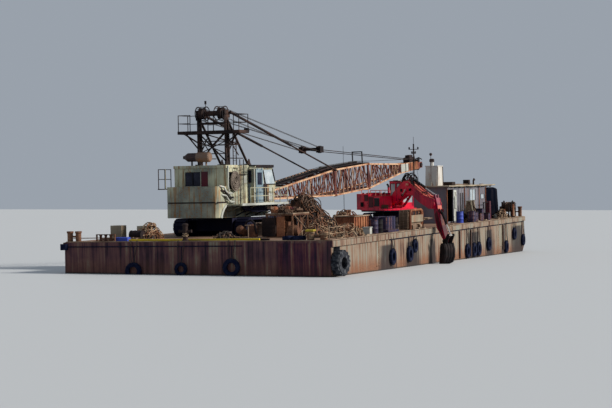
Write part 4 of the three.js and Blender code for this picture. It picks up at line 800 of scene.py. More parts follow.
def ladder(shape, foot, top, side, width=0.4, step=0.3, rail=0.045):
    """Two rails and rungs from foot to top; side points from rail to rail."""
    side = Vector(side).normalized() * width / 2
    foot, top = Vector(foot), Vector(top)
    for sign in (-1, 1):
        shape.bar(tuple(foot + side * sign), tuple(top + side * sign), rail)
    count = int((top - foot).length / step)
    for i in range(1, count):
        middle = foot + (top - foot) * (i / count)
        shape.tube([tuple(middle - side), tuple(middle + side)], 0.016, 6)


def frame_around(shape, axis, plane, low, high, width=0.06, proud=0.025):
    """Four flat bars round an opening in a wall. The plane is where the wall's outside stands on axis."""
    (a0, b0), (a1, b1) = low, high
    near, far = sorted((plane, plane + proud))

    def piece(p, q):
        lo, hi = list(p), list(q)
        lo.insert(axis, near)
        hi.insert(axis, far)
        shape.box(lo, hi, 0.006)
    piece((a0 - width, b0 - width), (a1 + width, b0))
    piece((a0 - width, b1), (a1 + width, b1 + width))
    piece((a0 - width, b0), (a0, b1))
    piece((a1, b0), (a1 + width, b1))


@operator
class DREDGER_OT_deck_edge(Operator):
    """Trim the deck's edges: kerbs, strake joints, posts and small fittings"""
    bl_idname = "dredger.deck_edge"
    bl_label = "Deck Edge"

    def execute(self, context):
        make_deck_edge()
        return {"FINISHED"}


def make_deck_edge():
    rng = random.Random(11)
    edge = Shape()
    edge.box((0.7, 4.6, 0), (0.84, 13.3, 0.13))
    edge.paint(1).tube([(1.35, 4.2, 0.06), (1.35, 9, 0.06), (1.42, 12.8, 0.06)], 0.055)
    for v in (3.9, 8.1, 13.6):
        edge.box((0.05, v, 0), (0.3, v + 0.9, 0.05))
    for u in [0.6 + 2.85 * i + rng.uniform(-0.6, 0.6) for i in range(19)]:
        edge.box((u, -0.118, -0.35), (u + 0.045, -0.1, -0.03), 0.004)
    edge.paint(2).boxes(((0.02, -0.1, 0), (HULL_LENGTH - 0.05, 0.1, 0.045), 0.01),
        ((0.02, 0.1, 0), (0.16, HULL_WIDTH - 0.1, 0.04), 0.01))
    for u in (7.4, 19.6, 21.1, 29.2, 40.1, 44.8, 51.6):
        edge.box((u, 0.02, 0.045), (u + rng.uniform(0.3, 0.7), 0.24, rng.uniform(0.09, 0.2)))
    edge.build("deck_edge_trim", "pontoon", "hull", ["yellow_paint", "oily_steel", "pale_steel"])

    post = Shape()
    post.turned([(0, 0), (0.2, 0), (0.2, 0.05), (0.15, 0.07), (0.15, 0.86), (0.19, 0.9), (0.19, 0.97),
        (0.1, 1.03), (0, 1.04)], (0.3, 9.1, 0.04), UP, 16)
    post.tube([(0.3, 8.72, 0.6), (0.3, 9.48, 0.6)], 0.075, 10)
    for v in (8.72, 9.48):
        post.disc(0.1, -0.03, 0.03, (0.3, v, 0.6), ACROSS, 12)
    post.paint(1)
    for turn in range(4):
        post.tube(loop(rng, (0.3, 9.1, 0.3 + 0.055 * turn), 0.175, (0, 0.05, 1), 0.01), 0.024, 6, True)
    post.build("cross_bollard", "pontoon", "gear", ["oily_steel", "fibre_rope"])

    corner = Shape()
    corner.paint(1).box((0.2, 1.1, 0.522), (0.7, 1.6, 0.64), 0.03)
    corner.paint(2)
    for turn in range(9):
        v = 0.55 if turn % 2 else 1.35
        corner.tube(loop(rng, (0.45, v, 0.13 + 0.04 * turn), 0.26, (0.05, 0.05, 1), 0.012), 0.028, 6, True)
    corner.paint(3)
    posts = [(0.12, 0.12, 0), (1.6, 0.15, 0), (3.1, 0.16, 0)]
    for x, y, z in posts:
        corner.tube([(x, y, z), (x, y, 0.84)], 0.035, 8)
        corner.disc(0.09, 0, 0.03, (x, y, z), UP, 10)
    corner.paint(2)
    for level in (0.42, 0.78):
        for a, b in zip(posts, posts[1:]):
            corner.tube(hanging((a[0], a[1], level), (b[0], b[1], level), 0.05), 0.016, 6)
    corner.paint(4)
    for v, size in ((2.1, 0.42), (2.75, 0.36)):
        corner.turned([(size - 0.16, -0.1), (size - 0.03, -0.12), (size, -0.07), (size, 0.07),
            (size - 0.03, 0.12), (size - 0.16, 0.1), (size - 0.16, -0.1)], (0.55, v, 0.13), (0.12, 0.06, 1),
            20)
    corner.build("corner_gear", "pontoon", "gear", ["oily_steel", "yellow_paint", "fibre_rope", "pale_steel",
        "fender_rubber"])

    lines = Shape()
    for u, z, outer in ((12.5, -1.51, 0.54), (16.65, -1.52, 0.54), (17.95, -1.04, 0.46), (33.2, -2.05, 0.56),
            (35.3, -2.05, 0.56), (36.9, -2.05, 0.56), (40.5, -1.82, 0.54), (47, -2.3, 0.52),
            (50.35, -1.34, 0.52), (54, -2, 0.5)):
        for spread in (-0.22, 0.26):
            lines.tube([(u + 0.3 * spread, -0.22, z + 0.86 * outer), (u + 0.8 * spread, -0.17,
                (z + outer - 0.4) / 2), (u + spread, -0.13, -0.36), (u + spread, -0.02, 0.06),
                (u + spread, 0.1, 0.07)], 0.022, 6)
        lines.tube([(u + 0.12 * cos(a), -0.12 + 0.16 * sin(a), z + outer * 0.8 + 0.1 * cos(a))
            for a in [2 * pi * k / 12 for k in range(12)]], 0.02, 6, True)
    for v, z, outer in ((12.3, -1.73, 0.525), (9.24, -1.61, 0.4), (6.06, -1.52, 0.535)):
        for spread in (-0.2, 0.2):
            lines.tube([(-0.2, v + 0.4 * spread, z + 0.86 * outer), (-0.1, v + spread, -0.3),
                (-0.03, v + spread, 0.05), (0.1, v + spread, 0.06)], 0.022, 6)
    lines.paint(1)
    for u, low in ((27.6, -3), (28.3, -3.4), (43.9, -2.6), (9.2, -1.9), (45.2, -2.2)):
        path = [(u + 0.05 * sin(1.3 * k), -0.145 - 0.012 * sin(2.1 * k), 0.02 + (low - 0.02) * k / 9)
            for k in range(10)]
        lines.tube([(u, 0.12, 0.07), *path, (u, 0.03, low - 0.06)], 0.02, 6)
    lines.build("fender_lines", "pontoon", "tyre", ["rigging", "fibre_rope"])


def under_tail(x, y):
    """How high a thing may stand there and stay clear of the crane's counterweight."""
    return 1.1 if hypot(x - CRANE_AT[0], y - CRANE_AT[1]) < 6.05 else OPEN_AIR


@operator
class DREDGER_OT_rope_heaps(Operator):
    """Heap up old wire rope and cordage on the deck"""
    bl_idname = "dredger.rope_heaps"
    bl_label = "Rope Heaps"

    def execute(self, context):
        make_rope_heaps()
        return {"FINISHED"}


def make_rope_heaps():
    rng = random.Random(23)
    heap = Shape()
    tangle(heap, rng, (17.78, 8.15), (1.7, 2.65, 2.12), 300, (0.22, 0.75), 0.03, -0.42, under_tail,
        (0, 0, 1, 2))
    for _ in range(60):
        turn, level = rng.uniform(0, 6.28), rng.uniform(0.1, 1)
        x = 17.78 + (1.62 - 1.2 * level) * cos(turn)
        y = 8.15 + (2.6 - 2 * level) * sin(turn) - 0.42 * level
        z = min(2.1 * level, under_tail(x, y) - 0.1)
        reach = rng.uniform(0.25, 0.7)
        top = min(z + rng.uniform(0.05, 0.35), under_tail(x, y))
        heap.paint(rng.choice((0, 1, 2))).tube([(x, y, z), (x + 0.4 * reach * cos(turn),
            y + 0.4 * reach * sin(turn), top), (x + reach * cos(turn + 0.4), y + reach * sin(turn + 0.4),
            max(0.05, z - 0.2))], 0.02, 5)
    heap.build("wire_coils", "pontoon", "gear", ["wire_rope", "rigging", "rusty_rope"])

    low = Shape()
    for centre, size, count, radii, thickness, looks in (
            ((6.6, 1.05), (2.5, 0.75, 0.6), 90, (0.15, 0.5), 0.026, (1, 1, 2)),
            ((5.6, 2.7), (1.3, 0.9, 0.85), 60, (0.15, 0.45), 0.028, (2, 2, 1)),
            ((9.3, 3.3), (2, 1.1, 0.95), 110, (0.18, 0.55), 0.03, (0, 1, 2, 3)),
            ((12.8, 4.4), (2, 1.4, 0.9), 110, (0.2, 0.6), 0.03, (0, 1, 3)),
            ((15.6, 4.2), (1.6, 1.3, 1.15), 80, (0.2, 0.6), 0.03, (0, 1, 2)),
            ((19.8, 5.6), (1.5, 1.5, 1), 70, (0.2, 0.6), 0.03, (0, 1, 3)),
            ((4.2, 13.1), (0.9, 0.8, 0.75), 60, (0.15, 0.45), 0.03, (2, 1)),
            ((2.3, 7.4), (0.8, 0.7, 0.35), 30, (0.15, 0.4), 0.025, (0, 3))):
        low.paint(3)
        lump(low, rng, centre, (size[0] * 0.92, size[1] * 0.92, size[2] * 0.93))
        tangle(low, rng, centre, size, count, radii, thickness, 0, under_tail, looks)
    low.build("rope_heaps", "pontoon", "gear", ["wire_rope", "fibre_rope", "rusty_rope", "rigging"])


@operator
class DREDGER_OT_deck_cargo(Operator):
    """Set out drums, boxes, boards, the scrap bin and the slatted crate"""
    bl_idname = "dredger.deck_cargo"
    bl_label = "Deck Cargo"

    def execute(self, context):
        make_deck_cargo(context)
        return {"FINISHED"}


def make_deck_cargo(context):
    rng = random.Random(37)
    hoops = Shape(turned_place((15.3, 1.25), 0))
    for x in (-0.7, -0.05, 0.6):
        for y in (-0.31, 0.31):
            for z in (0.15, 0.42, 0.72, 0.99):
                hoops.turned([(0.284, -0.02), (0.302, -0.01), (0.302, 0.01), (0.284, 0.02), (0.284, -0.02)],
                    (x, y, z), UP, 20)
            hoops.paint(1).disc(0.045, 0, 0.03, (x + 0.17, y, 1.009), UP, 10)
            hoops.paint(0)
    hoops.paint(2)
    for x in (-1.1, -0.55, 0, 0.55, 1.1):
        hoops.box((x - 0.09, -0.67, 0.141), (x + 0.09, 0.67, 0.165), 0.006)
    hoops.build("drum_hoops", "pontoon", "drums", ["drum_paint", "black_steel", "old_timber"])

    drums = Shape()
    for finish, at, axis in ((0, (12.1, 1, 0.005), UP), (3, (13, 0.95, 0.005), UP),
            (0, (9.6, 1.9, 0.3), (0.3, 1, 0)), (1, (36, 1.15, 0.005), UP), (0, (36.9, 0.4, 0.005), UP),
            (0, (37.4, 0.55, 0.3), (1, 0.25, 0)), (3, (3.35, 13.2, 0.3), (0.2, 1, 0)),
            (3, (18.6, 1.5, 0.005), UP)):
        drums.paint(finish)
        drum(drums, at, axis)
    drums.build("loose_drums", "pontoon", "drums", ["drum_paint", "blue_paint", "red_panel", "black_steel"])

    boxes = Shape()
    boxes.paint(1).boxes(((10.25, 0.72, 0), (10.75, 1.18, 0.42), 0.02),
        ((10.22, 0.69, 0.42), (10.78, 1.21, 0.47), 0.015))
    boxes.paint(0).box((0.55, 12.95, 0), (1, 13.75, 0.26), 0.03)
    boxes.paint(2)
    for u, v, w, d, h in ((38, 0.35, 0.9, 0.7, 0.75), (40.4, 0.5, 0.8, 0.7, 0.62),
            (41.4, 0.6, 0.6, 0.8, 0.95), (22.9, 1, 1.1, 0.9, 0.5), (43.2, 0.5, 0.7, 0.6, 0.55)):
        boxes.box((u, v, 0), (u + w, v + d, h), 0.025)
        boxes.paint(3).boxes(((u - 0.02, v - 0.02, h), (u + w + 0.02, v + d + 0.02, h + 0.05), 0.012),
            ((u + 0.3 * w, v - 0.03, 0.55 * h), (u + 0.6 * w, v, 0.62 * h), 0.008))
        boxes.paint(2)
    boxes.build("deck_lockers", "pontoon", "cream",
        ["blue_paint", "white_paint", "drum_paint", "black_steel"])

    boards = Shape()
    for i in range(context.scene.dredger_hull.deck_planks):
        plank(boards, rng, (rng.uniform(1, 3.4), rng.uniform(12.2, 15.6), 0.03 + 0.05 * (i % 4)),
            rng.uniform(1.6, 3.4), rng.uniform(1.2, 1.9))
    boards.place = crane
    for x in (-1.9, 0.3):
        boards.box((x, -3.45, 0), (x + 0.2, -2.85, 0.62))
    for i in range(16):
        plank(boards, rng, (rng.uniform(-0.95, -0.65), -3.38 + 0.15 * (i % 4), 0.65 + 0.055 * (i // 4)),
            rng.uniform(2.4, 3.2), rng.uniform(-0.04, 0.04), 0.16)
    boards.place = vessel
    for i in range(8):
        plank(boards, rng, (rng.uniform(23, 25), rng.uniform(0.6, 1.1), 0.54 + 0.05 * (i // 2)),
            rng.uniform(1.4, 2.6), rng.uniform(-0.15, 0.15))
    boards.build("loose_boards", "pontoon", "timber", ["old_timber"])

    bin_ = Shape()
    u0, u1, v0, v1, top = 11, 14.3, 2, 3.2, 1.1
    for low, high in (((u0, v0, 0.05), (u1, v0 + 0.05, top)), ((u0, v1 - 0.05, 0.05), (u1, v1, top)),
            ((u0, v0, 0.05), (u0 + 0.05, v1, top)), ((u1 - 0.05, v0, 0.05), (u1, v1, top)),
            ((u0, v0, 0.05), (u1, v1, 0.12))):
        bin_.box(low, high, 0.008)
    for u in [u0 + 0.3 + 0.55 * i for i in range(6)]:
        bin_.box((u, v0 - 0.06, 0), (u + 0.09, v0, top))
    for v in (v0 + 0.25, v0 + 0.8):
        bin_.box((u0 - 0.06, v, 0), (u0, v + 0.09, top))
    bin_.paint(1)
    for a, b in (((u0 - 0.08, v0 - 0.08), (u1 + 0.08, v0 + 0.03)),
            ((u0 - 0.08, v1 - 0.03), (u1 + 0.08, v1 + 0.08)),
            ((u0 - 0.08, v0 + 0.03), (u0 + 0.03, v1 - 0.03)),
            ((u1 - 0.03, v0 + 0.03), (u1 + 0.08, v1 - 0.03))):
        bin_.box((*a, top), (*b, top + 0.07), 0.01)
    tangle(bin_, rng, ((u0 + u1) / 2, (v0 + v1) / 2), (1.45, 0.5, 1.25), 60, (0.15, 0.4), 0.028, 0,
        under_tail)
    bin_.build("scrap_bin", "pontoon", "gear", ["rusty_plate", "pale_steel", "wire_rope"])

    slats = Shape(turned_place((21.3, 1.08), 0))
    end, face, lid = -1.7, -0.33, 1.31
    for z in [0.1 + 0.145 * i for i in range(8)]:
        slats.boxes(((end - 0.05, face - 0.01, z), (end - 0.02, -face, z + 0.1), 0.006),
            ((end, -face, z), (-end, -face + 0.024, z + 0.1), 0.006),
            ((-end, face, z), (-end + 0.024, -face, z + 0.1), 0.006))
    for y in (-0.3, 0, 0.24):
        slats.box((end - 0.09, y, 0), (end - 0.05, y + 0.07, lid), 0.006)
    for x in (-1.5, -0.8, -0.1, 0.6, 1.3):
        slats.box((x, -0.34, lid), (x + 0.16, 0.34, lid + 0.03), 0.006)
    slats.paint(1).tube([(-1.62, face - 0.09, 0.02), (-1.62, face - 0.09, 1.05), (-1.5, face - 0.09, 1.24),
        (-1.25, face - 0.09, 1.32), (1.2, face - 0.09, 1.32), (1.48, face - 0.09, 1.24),
        (1.6, face - 0.09, 1.05), (1.6, face - 0.09, 0.02)], 0.085, 10)
    slats.tube([(1.25, face - 0.06, 1.28), (1.38, face - 0.06, 1.1), (1.38, face - 0.06, 0.2)], 0.1, 8)
    slats.paint(2).box((-1.6, face - 0.2, 0.48), (1.42, face - 0.12, 0.97), 0.02)
    slats.paint(3).boxes(((-1.62, face - 0.06, 0.02), (1.6, face - 0.01, 0.95), 0.02),
        ((-1.3, face - 0.22, 0), (-0.2, face - 0.06, 0.3), 0.03))
    slats.disc(0.16, 0, 0.5, (0.2, face - 0.16, 0.18), ALONG, 12)
    # Black plate behind the frame: painted shade in the openings of the generator's side.
    slats.paint(4).box((-1.35, face - 0.05, 0.98), (0.85, face - 0.012, 1.24), 0.01)
    slats.paint(1)
    for x in (-1, -0.2, 0.5):
        slats.box((x, face - 0.1, 0.96), (x + 0.09, face - 0.05, 1.26), 0.01)
    slats.build("crate_and_generator", "pontoon", "timber",
        ["old_timber", "rusty_plate", "cream_paint", "pale_steel", "black_steel"])


@operator
class DREDGER_OT_pump_table(Operator):
    """Fit the pump set beside and below the steel table, with scrap on its top"""
    bl_idname = "dredger.pump_table"
    bl_label = "Pump Table"

    def execute(self, context):
        make_pump_table()
        return {"FINISHED"}


def make_pump_table():
    rng = random.Random(41)
    gear = Shape()
    gear.box((5.62, 5.35, 0.06), (6.25, 6.25, 1.22), 0.03)
    for z in (0.35, 0.6, 0.85):
        gear.box((5.6, 5.45, z), (5.62, 6.15, z + 0.05), 0.005)
    gear.paint(1).boxes(((5.6, 4.75, 0.06), (5.66, 5.28, 1.3), 0.015),
        ((5.57, 4.8, 0.62), (5.6, 5.23, 0.66), 0.005))
    gear.paint(2).turned([(0, 0), (0.3, 0), (0.33, 0.05), (0.33, 0.62), (0.25, 0.74), (0.12, 0.8), (0, 0.8)],
        (5.35, 6.75, 0.06), UP, 20)
    gear.turned([(0, 0), (0.24, 0), (0.26, 0.04), (0.26, 0.55), (0.16, 0.66), (0, 0.66)], (5.55, 7.35, 0.3),
        (-0.5, 0.2, 0.3), 18)
    gear.turned([(0, -0.35), (0.28, -0.35), (0.34, -0.2), (0.34, 0.2), (0.28, 0.35), (0, 0.35)],
        (6.05, 4.35, 0.42), ACROSS, 20)
    gear.box((5.65, 4.25, 0.06), (6.35, 4.7, 0.3), 0.02)
    gear.paint(3).tube([(5.2, 6.45, 0.25), (5.05, 6.5, 0.9), (5.1, 6.75, 1.1), (5.3, 7.1, 1),
        (5.35, 7.3, 0.6), (5.2, 7.5, 0.1)], 0.07, 10)
    gear.tube([(6.3, 4.6, 1.36), (6.5, 4.3, 1.1), (6.4, 4.25, 0.6)], 0.06, 8)
    for u in (5.68, 7.1, 8.5):
        gear.tube([(u, 4.23, 0.02), (u + 1.3, 4.23, 1.33)], 0.03, 6)
    gear.paint(4).tube([(5.35, 4.02, 1.36), (7.35, 3.55, 0.03)], 0.035, 8)
    gear.tube([(2.2, 5.85, 0), (2.2, 5.85, 0.88)], 0.03, 8)
    gear.tube([(2.2, 5.7, 0.86), (2.2, 6.05, 0.86)], 0.03, 8)
    gear.build("pump_set", "pontoon", "gear", ["oily_steel", "rusty_plate", "deck_steel", "black_steel",
        "pale_steel"])

    scrap = Shape()
    scrap.boxes(((5.58, 4.18, 1.421), (8.62, 4.24, 1.5), 0.01),
        ((5.58, 4.24, 1.421), (5.64, 6.02, 1.5), 0.01))
    for _ in range(16):
        u, v = rng.uniform(5.8, 7.4), rng.uniform(4.4, 5.8)
        turn, size = rng.uniform(0, 3.1), rng.uniform(0.15, 0.38)
        scrap.paint(rng.choice((1, 2, 3)))
        plank(scrap, rng, (u, v, rng.uniform(1.5, 1.78)), 2 * size, turn, size, rng.uniform(0.08, 0.2),
            rng.uniform(-0.3, 0.3))
    scrap.paint(2)
    for point in ((6, 5.5, 1.45), (6.7, 4.9, 1.45), (7.4, 5.2, 1.45)):
        scrap.turned([(0, 0), (0.22, 0), (0.26, 0.08), (0.26, 0.3), (0.2, 0.42), (0.1, 0.46), (0, 0.46)],
            point, (rng.uniform(-0.2, 0.2), rng.uniform(-0.2, 0.2), 1), 14)
    ring = Shape()
    tangle(ring, rng, (6.6, 5.1), (1.1, 0.75, 0.42), 60, (0.12, 0.34), 0.024)
    scrap.points += [p + Vector((0, 0, 1.44 / 2)) for p in ring.points]
    first = len(scrap.points) - len(ring.points)
    scrap.faces += [[first + i for i in face] for face in ring.faces]
    scrap.looks += [(1, True)] * len(ring.faces)
    scrap.build("table_scrap", "pontoon", "gear", ["pale_steel", "wire_rope", "rusty_plate", "red_panel"])


@operator
class DREDGER_OT_deckhouse(Operator):
    """Trim the deckhouse: seams, window frames and glass, the roof's edge and what stands on it"""
    bl_idname = "dredger.deckhouse"
    bl_label = "Deckhouse"

    def execute(self, context):
        make_deckhouse()
        return {"FINISHED"}


def make_deckhouse():
    rng = random.Random(53)
    trim = Shape()
    u0, u1, v0, v1, height = 34.5, 47.8, 1.8, 5.5, 2.8
    for u in [38.35 + 1.12 * i for i in range(9)]:
        if not (42.2 < u < 44.3 or 46.1 < u < 47.5):
            trim.box((u, v0 - 0.02, 0), (u + 0.05, v0, height), 0.005)
        trim.box((u, v1, 0), (u + 0.05, v1 + 0.02, height), 0.005)
    for v in (2, 3.6, 4.5, 5.2):
        trim.box((u0 - 0.02, v, 0), (u0, v + 0.05, height), 0.005)
    trim.boxes(((37.85, v0 - 0.035, 0), (u1, v0, 0.16), 0.01), ((u0 - 0.035, v0, 0), (u0, v1, 0.16), 0.01))
    frame_around(trim, 1, v0, (42.3, 1.66), (44.2, 2.55), 0.07, -0.03)
    frame_around(trim, 1, v0, (46.2, 1.75), (47.4, 2.1), 0.06, -0.03)
    frame_around(trim, 1, v0, (34.66, 0.12), (36.6, 2.6), 0.08, -0.03)
    frame_around(trim, 0, u0, (2.5, 1.25), (3.4, 2.1), 0.06, -0.03)
    for u in (36, 39.5, 43):
        frame_around(trim, 1, v1, (u, 1.25), (u + 1.2, 2.1), 0.06, 0.03)
    trim.paint(1)
    for u in (34.45, 40.2, 45.4, 47.75):
        trim.box((u, v0 - 0.07, 0), (u + 0.1, v0 - 0.02, height), 0.01)
    trim.build("deckhouse_trim", "pontoon", "lilac", ["house_paint", "rusty_plate"])

    panes = Shape()
    # Pale panes: a painted reflection of the sky.
    for low, high in (((42.3, v0 + 0.02, 1.66), (44.2, v0 + 0.04, 2.55)),
            ((46.2, v0 + 0.02, 1.75), (47.4, v0 + 0.04, 2.1)),
            ((u0 + 0.02, 2.5, 1.25), (u0 + 0.04, 3.4, 2.1)), ((36, v1 - 0.04, 1.25), (37.2, v1 - 0.02, 2.1)),
            ((39.5, v1 - 0.04, 1.25), (40.7, v1 - 0.02, 2.1)),
            ((43, v1 - 0.04, 1.25), (44.2, v1 - 0.02, 2.1)), ((u1 - 0.04, 3, 1.25), (u1 - 0.02, 4.2, 2.1))):
        panes.box(low, high, 0.003)
    panes.paint(1).box((43.22, v0 - 0.005, 1.66), (43.28, v0 + 0.045, 2.55), 0.004)
    panes.build("deckhouse_panes", "pontoon", "white", ["sky_reflection_glass", "cream_paint"])

    roof = Shape()
    for u in [34.4 + 1.35 * i for i in range(12)]:
        roof.box((u, v0 - 0.21, height - 0.1), (u + 0.06, v0, height - 0.002), 0.008)
    roof.paint(1)
    path = [(u, v0 - 0.235, 2.85 + 0.015 * sin(1.9 * u)) for u in [34.25 + 0.9 * i for i in range(19)]]
    roof.tube(path[:-1] + [(50.55, v0 - 0.235, 2.86)], 0.055, 8)
    roof.paint(2)
    for u, v, w, d, h in ((38.9, 2.4, 1, 0.8, 0.28), (41.6, 3.6, 1.8, 1, 0.18), (45.8, 2.7, 0.5, 0.5, 0.42)):
        roof.box((u, v, 2.902), (u + w, v + d, 2.9 + h), 0.03)
    roof.tube([(44.9, 2.1, 2.9), (44.9, 2.1, 3.25), (45.1, 2.1, 3.38), (45.3, 2.1, 3.3)], 0.07, 10)
    roof.paint(3)
    for _ in range(7):
        plank(roof, rng, (rng.uniform(40, 49), rng.uniform(2.2, 4.8), 2.93 + rng.uniform(0, 0.05)),
            rng.uniform(1.5, 3.2), rng.uniform(-0.3, 0.3), 0.18)
    roof.paint(2).turned([(0, 0), (0.2, 0), (0.2, 0.18), (0.15, 0.24), (0, 0.26)], (37.25, 3.62, 4.77), UP,
        16)
    for u in (36.62, 38.44):
        roof.bar((u, 3.03, 2.91), (u + (0.14 if u < 37 else -0.14), 3.03, 4.4), 0.05)
    roof.build("roof_gear", "pontoon", "cream", ["house_paint", "cream_paint", "oily_steel", "old_timber"])

    porch = Shape()
    porch.boxes(((34.75, 2.6, 0.12), (36.45, 3.1, 1), 0.02), ((34.75, 2.55, 1.55), (36.45, 3, 1.6), 0.01))
    porch.paint(1)
    for u, h in ((34.95, 0.32), (35.35, 0.25), (35.8, 0.35)):
        porch.box((u, 2.62, 1), (u + 0.26, 2.9, 1 + h), 0.03)
    porch.paint(0)
    for u in (38.7, 39.5):
        porch.tube([(u, 1.72, 0.3), (u, 1.72, 2.3)], 0.035, 8)
    porch.paint(2).box((47.05, 1.25, 0), (47.55, 1.62, 1.5), 0.02)
    porch.paint(0).tube([(45.2, 1.4, 1.42), (47.1, 1.4, 1.42)], 0.03, 8)
    porch.build("porch_gear", "pontoon", "dark", ["black_steel", "drum_paint", "red_panel"])

    board = Shape()
    board.box((36.98, 1.715, 1.1), (37.45, 1.797, 2.05), 0.03)
    board.paint(1).tube([(37.05, 1.74, 2.04), (37.2, 1.76, 2.35), (37.38, 1.74, 2.04)], 0.012, 6)
    board.box((37.15, 1.73, 2.33), (37.25, 1.797, 2.38), 0.01)
    board.build("door_board", "deckhouse_leaf", "white", ["white_paint", "pale_steel"])


@operator
class DREDGER_OT_shelter(Operator):
    """Hang the tarpaulin over its pipe frame behind the deckhouse"""
    bl_idname = "dredger.shelter"
    bl_label = "Shelter"

    def execute(self, context):
        make_shelter(context)
        return {"FINISHED"}


def make_shelter(context):
    u0, u1, v0, v1 = 47.9, 52.75, 1.86, 5.24
    poles = Shape()
    for u in (48, 49.55, 51.1, 52.6):
        poles.tube([(u, v0 + 0.06, 0), (u, v0 + 0.06, 2.4), (u, v0 + 0.32, 2.56), (u, 4.88, 2.58),
            (u, v1 - 0.06, 2.4), (u, v1 - 0.06, 0)], 0.035, 8)
    for v, z in ((v0 + 0.06, 2.3), (v0 + 0.32, 2.56), (3.5, 2.56), (v1 - 0.06, 2.3)):
        poles.tube([(48, v, z), (52.6, v, z)], 0.03, 8)
    frame_piece = poles.build("shelter_frame", "pontoon", "dark", ["black_steel"])

    path = [(v0, 0.03)] + [(v0, 0.03 + 2.42 * k / 14) for k in range(1, 15)]
    path += [(v0 + 0.12, 2.55), (v0 + 0.32, 2.625)] + [(v0 + 0.32 + 2.72 * k / 8, 2.625) for k in range(1, 9)]
    path += [(v1 - 0.1, 2.55)] + [(v1, 2.45 - 2.42 * k / 14) for k in range(15)]
    across = 96
    points, depth = [], 0.012
    for row, (v, z) in enumerate(path):
        a, b = Vector(path[max(row - 1, 0)]), Vector(path[min(row + 1, len(path) - 1)])
        out = Vector((-(b - a).y, (b - a).x)).normalized()
        loose = min(1, max(0, (2.5 - z) / 1.6))
        for i in range(across + 1):
            u = u0 + (u1 - u0) * i / across
            fold = 0.085 * sin(7.3 * u + 0.8 * sin(2.3 * u + 1.3 * z)) + 0.04 * sin(17 * u + z)
            lift = 0.01 + loose * (fold + 0.035) * (0.35 + 0.65 * loose)
            sag = 0.03 * sin(pi * ((u - 48) % 1.55) / 1.55) if loose == 0 else 0
            points.append((u, v + out.x * (lift - sag), max(0.012, z + out.y * (lift - sag))))
    mesh = bpy.data.meshes.new("shelter_tarpaulin")
    corners = [tuple(vessel(*p)) for p in points]
    wide = across + 1
    faces = [(r * wide + i, r * wide + i + 1, (r + 1) * wide + i + 1, (r + 1) * wide + i)
        for r in range(len(path) - 1) for i in range(across)]
    mesh.from_pydata(corners, [], faces)
    mesh.update()
    mesh.polygons.foreach_set("use_smooth", [True] * len(mesh.polygons))
    mesh.materials.append(FINISHES["tarpaulin"])
    cloth = bpy.data.objects.new("shelter_tarpaulin", mesh)
    context.scene.collection.objects.link(cloth)
    thick = cloth.modifiers.new("thickness", "SOLIDIFY")
    thick.thickness = depth / 2
    thick.offset = -1
    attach(cloth, "pontoon")
    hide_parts("shelter")


@operator
class DREDGER_OT_winches(Operator):
    """Wind rope on the two winch drums and dress their frames"""
    bl_idname = "dredger.winches"
    bl_label = "Winches"

    def execute(self, context):
        make_winches()
        return {"FINISHED"}


